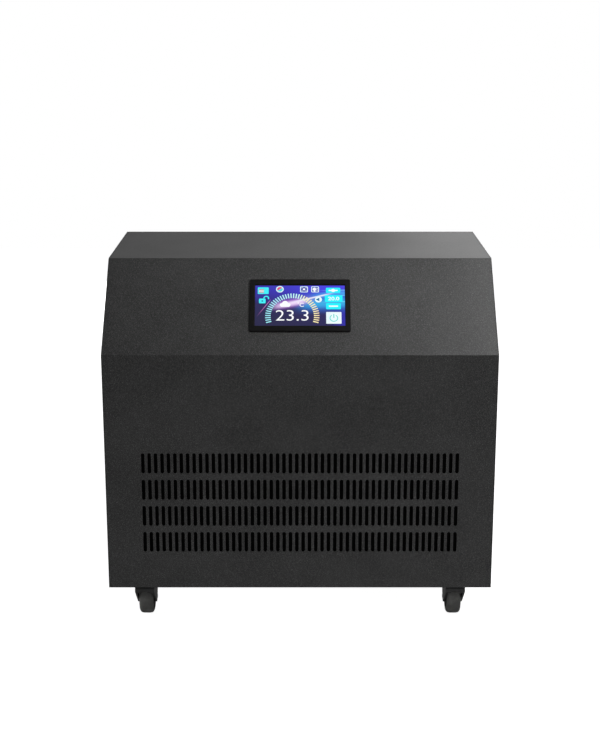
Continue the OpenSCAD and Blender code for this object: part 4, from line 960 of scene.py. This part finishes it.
def clampHoses():
    look, shape = clampLook, bmesh.new()
    inlet, outlet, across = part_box("inlet_hose"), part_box("outlet_hose"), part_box("transfer_hose")
    portLow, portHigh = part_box("inlet_port")
    x, inset, bend, half = (portLow.x + portHigh.x) / 2, look["inset"], look["bend"], look["width"] / 2
    inletUp, outletUp = (inlet[0].z + inlet[1].z) / 2, (outlet[0].z + outlet[1].z) / 2
    acrossBack = (across[0].y + across[1].y) / 2
    ends = (
        ((x, inlet[1].y - inset, inletUp), (0, 1, 0)),
        ((inlet[1].x - inset, inlet[0].y + bend, inletUp), (1, 0, 0)),
        ((x, outlet[1].y - inset, outletUp), (0, 1, 0)),
        ((outlet[0].x + inset, outlet[0].y + bend, outletUp), (1, 0, 0)),
        ((across[1].x - bend, acrossBack, across[0].z + inset), (0, 0, 1)),
        ((across[0].x + inset, acrossBack, across[1].z - bend), (1, 0, 0)),
    )
    for place, toward in ends:
        seat = standing(place, toward)
        lathe(shape, (
            (look["inner"], -half), (look["outer"], -half), (look["outer"], half), (look["inner"], half),
            (look["inner"], -half)), seat)
        above = Matrix.Translation((0, look["outer"] + look["screwUp"], 0))
        bmesh.ops.create_cone(
            shape, cap_ends=True, segments=look["screwSides"], radius1=look["screw"], radius2=look["screw"],
            depth=look["screwLong"], matrix=seat @ above @ Matrix.Rotation(math.pi / 2, 4, "Y"))
    bmesh.ops.recalc_face_normals(shape, faces=shape.faces)
    finished("hoseClamps", shape, "bright_steel")


tyreLook = {   # in millimetres
    "side": 10.5, "tread": 25, "seat": 19, "lip": 1, "bead": 0.5, "shoulder": 5.2, "arcSteps": 6,
    "crown": 0.2, "crownShare": 0.75, "crownRun": 2.6, "steps": 72,
}


def mouldTyres():
    look = tyreLook
    turned, crown, lip = look["shoulder"], look["tread"] - look["crown"], look["seat"] + look["lip"]
    half = [(look["seat"], look["side"] - look["bead"]), (lip, look["side"] - look["bead"])]
    half += [(lip + look["bead"], look["side"])]
    half += [(crown - turned + turned * math.sin(a), look["side"] - turned + turned * math.cos(a))
             for a in (math.pi / 2 * k / look["arcSteps"] for k in range(1, look["arcSteps"] + 1))]
    half += [(crown + look["crown"] * look["crownShare"], look["side"] - turned - look["crownRun"])]
    outline = [(r, -x) for r, x in half] + [(r, x) for r, x in reversed(half)]
    outline = [(r * mm, x * mm) for r, x in outline + outline[:1]]
    for corner in ("fl", "fr", "rl", "rr"):
        name = f"caster_{corner}_tyre"
        low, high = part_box(name)
        shape = bmesh.new()
        lathe(shape, outline, standing((low + high) / 2, (1, 0, 0)), look["steps"])
        bmesh.ops.remove_doubles(shape, verts=shape.verts, dist=weldGap / 2)
        bmesh.ops.recalc_face_normals(shape, faces=shape.faces)
        finished(f"tyre.{corner}", shape, "wheel_tread", bodyOf[name], (name,), smooth=30)


finLook = {"pitch": 2.35 * mm, "thick": 0.16 * mm}


def stackFins():
    look, shape = finLook, bmesh.new()
    low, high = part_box("condenser_fins")
    middle, size = (low + high) / 2, high - low
    count = int(size.x / look["pitch"])
    for k in range(count + 1):
        x = middle.x + (k - count / 2) * look["pitch"]
        block(shape, Matrix.Translation((x, middle.y, middle.z)), (look["thick"], size.y, size.z))
    finished("condenserFins", shape, "fin_aluminium", stands=("condenser_fins",))


driveScrews()
cutThreads()
fitGland()
markRocker()
clampHoses()
mouldTyres()
stackFins()
print("screws, threads, clamps, tyres and fins are made")
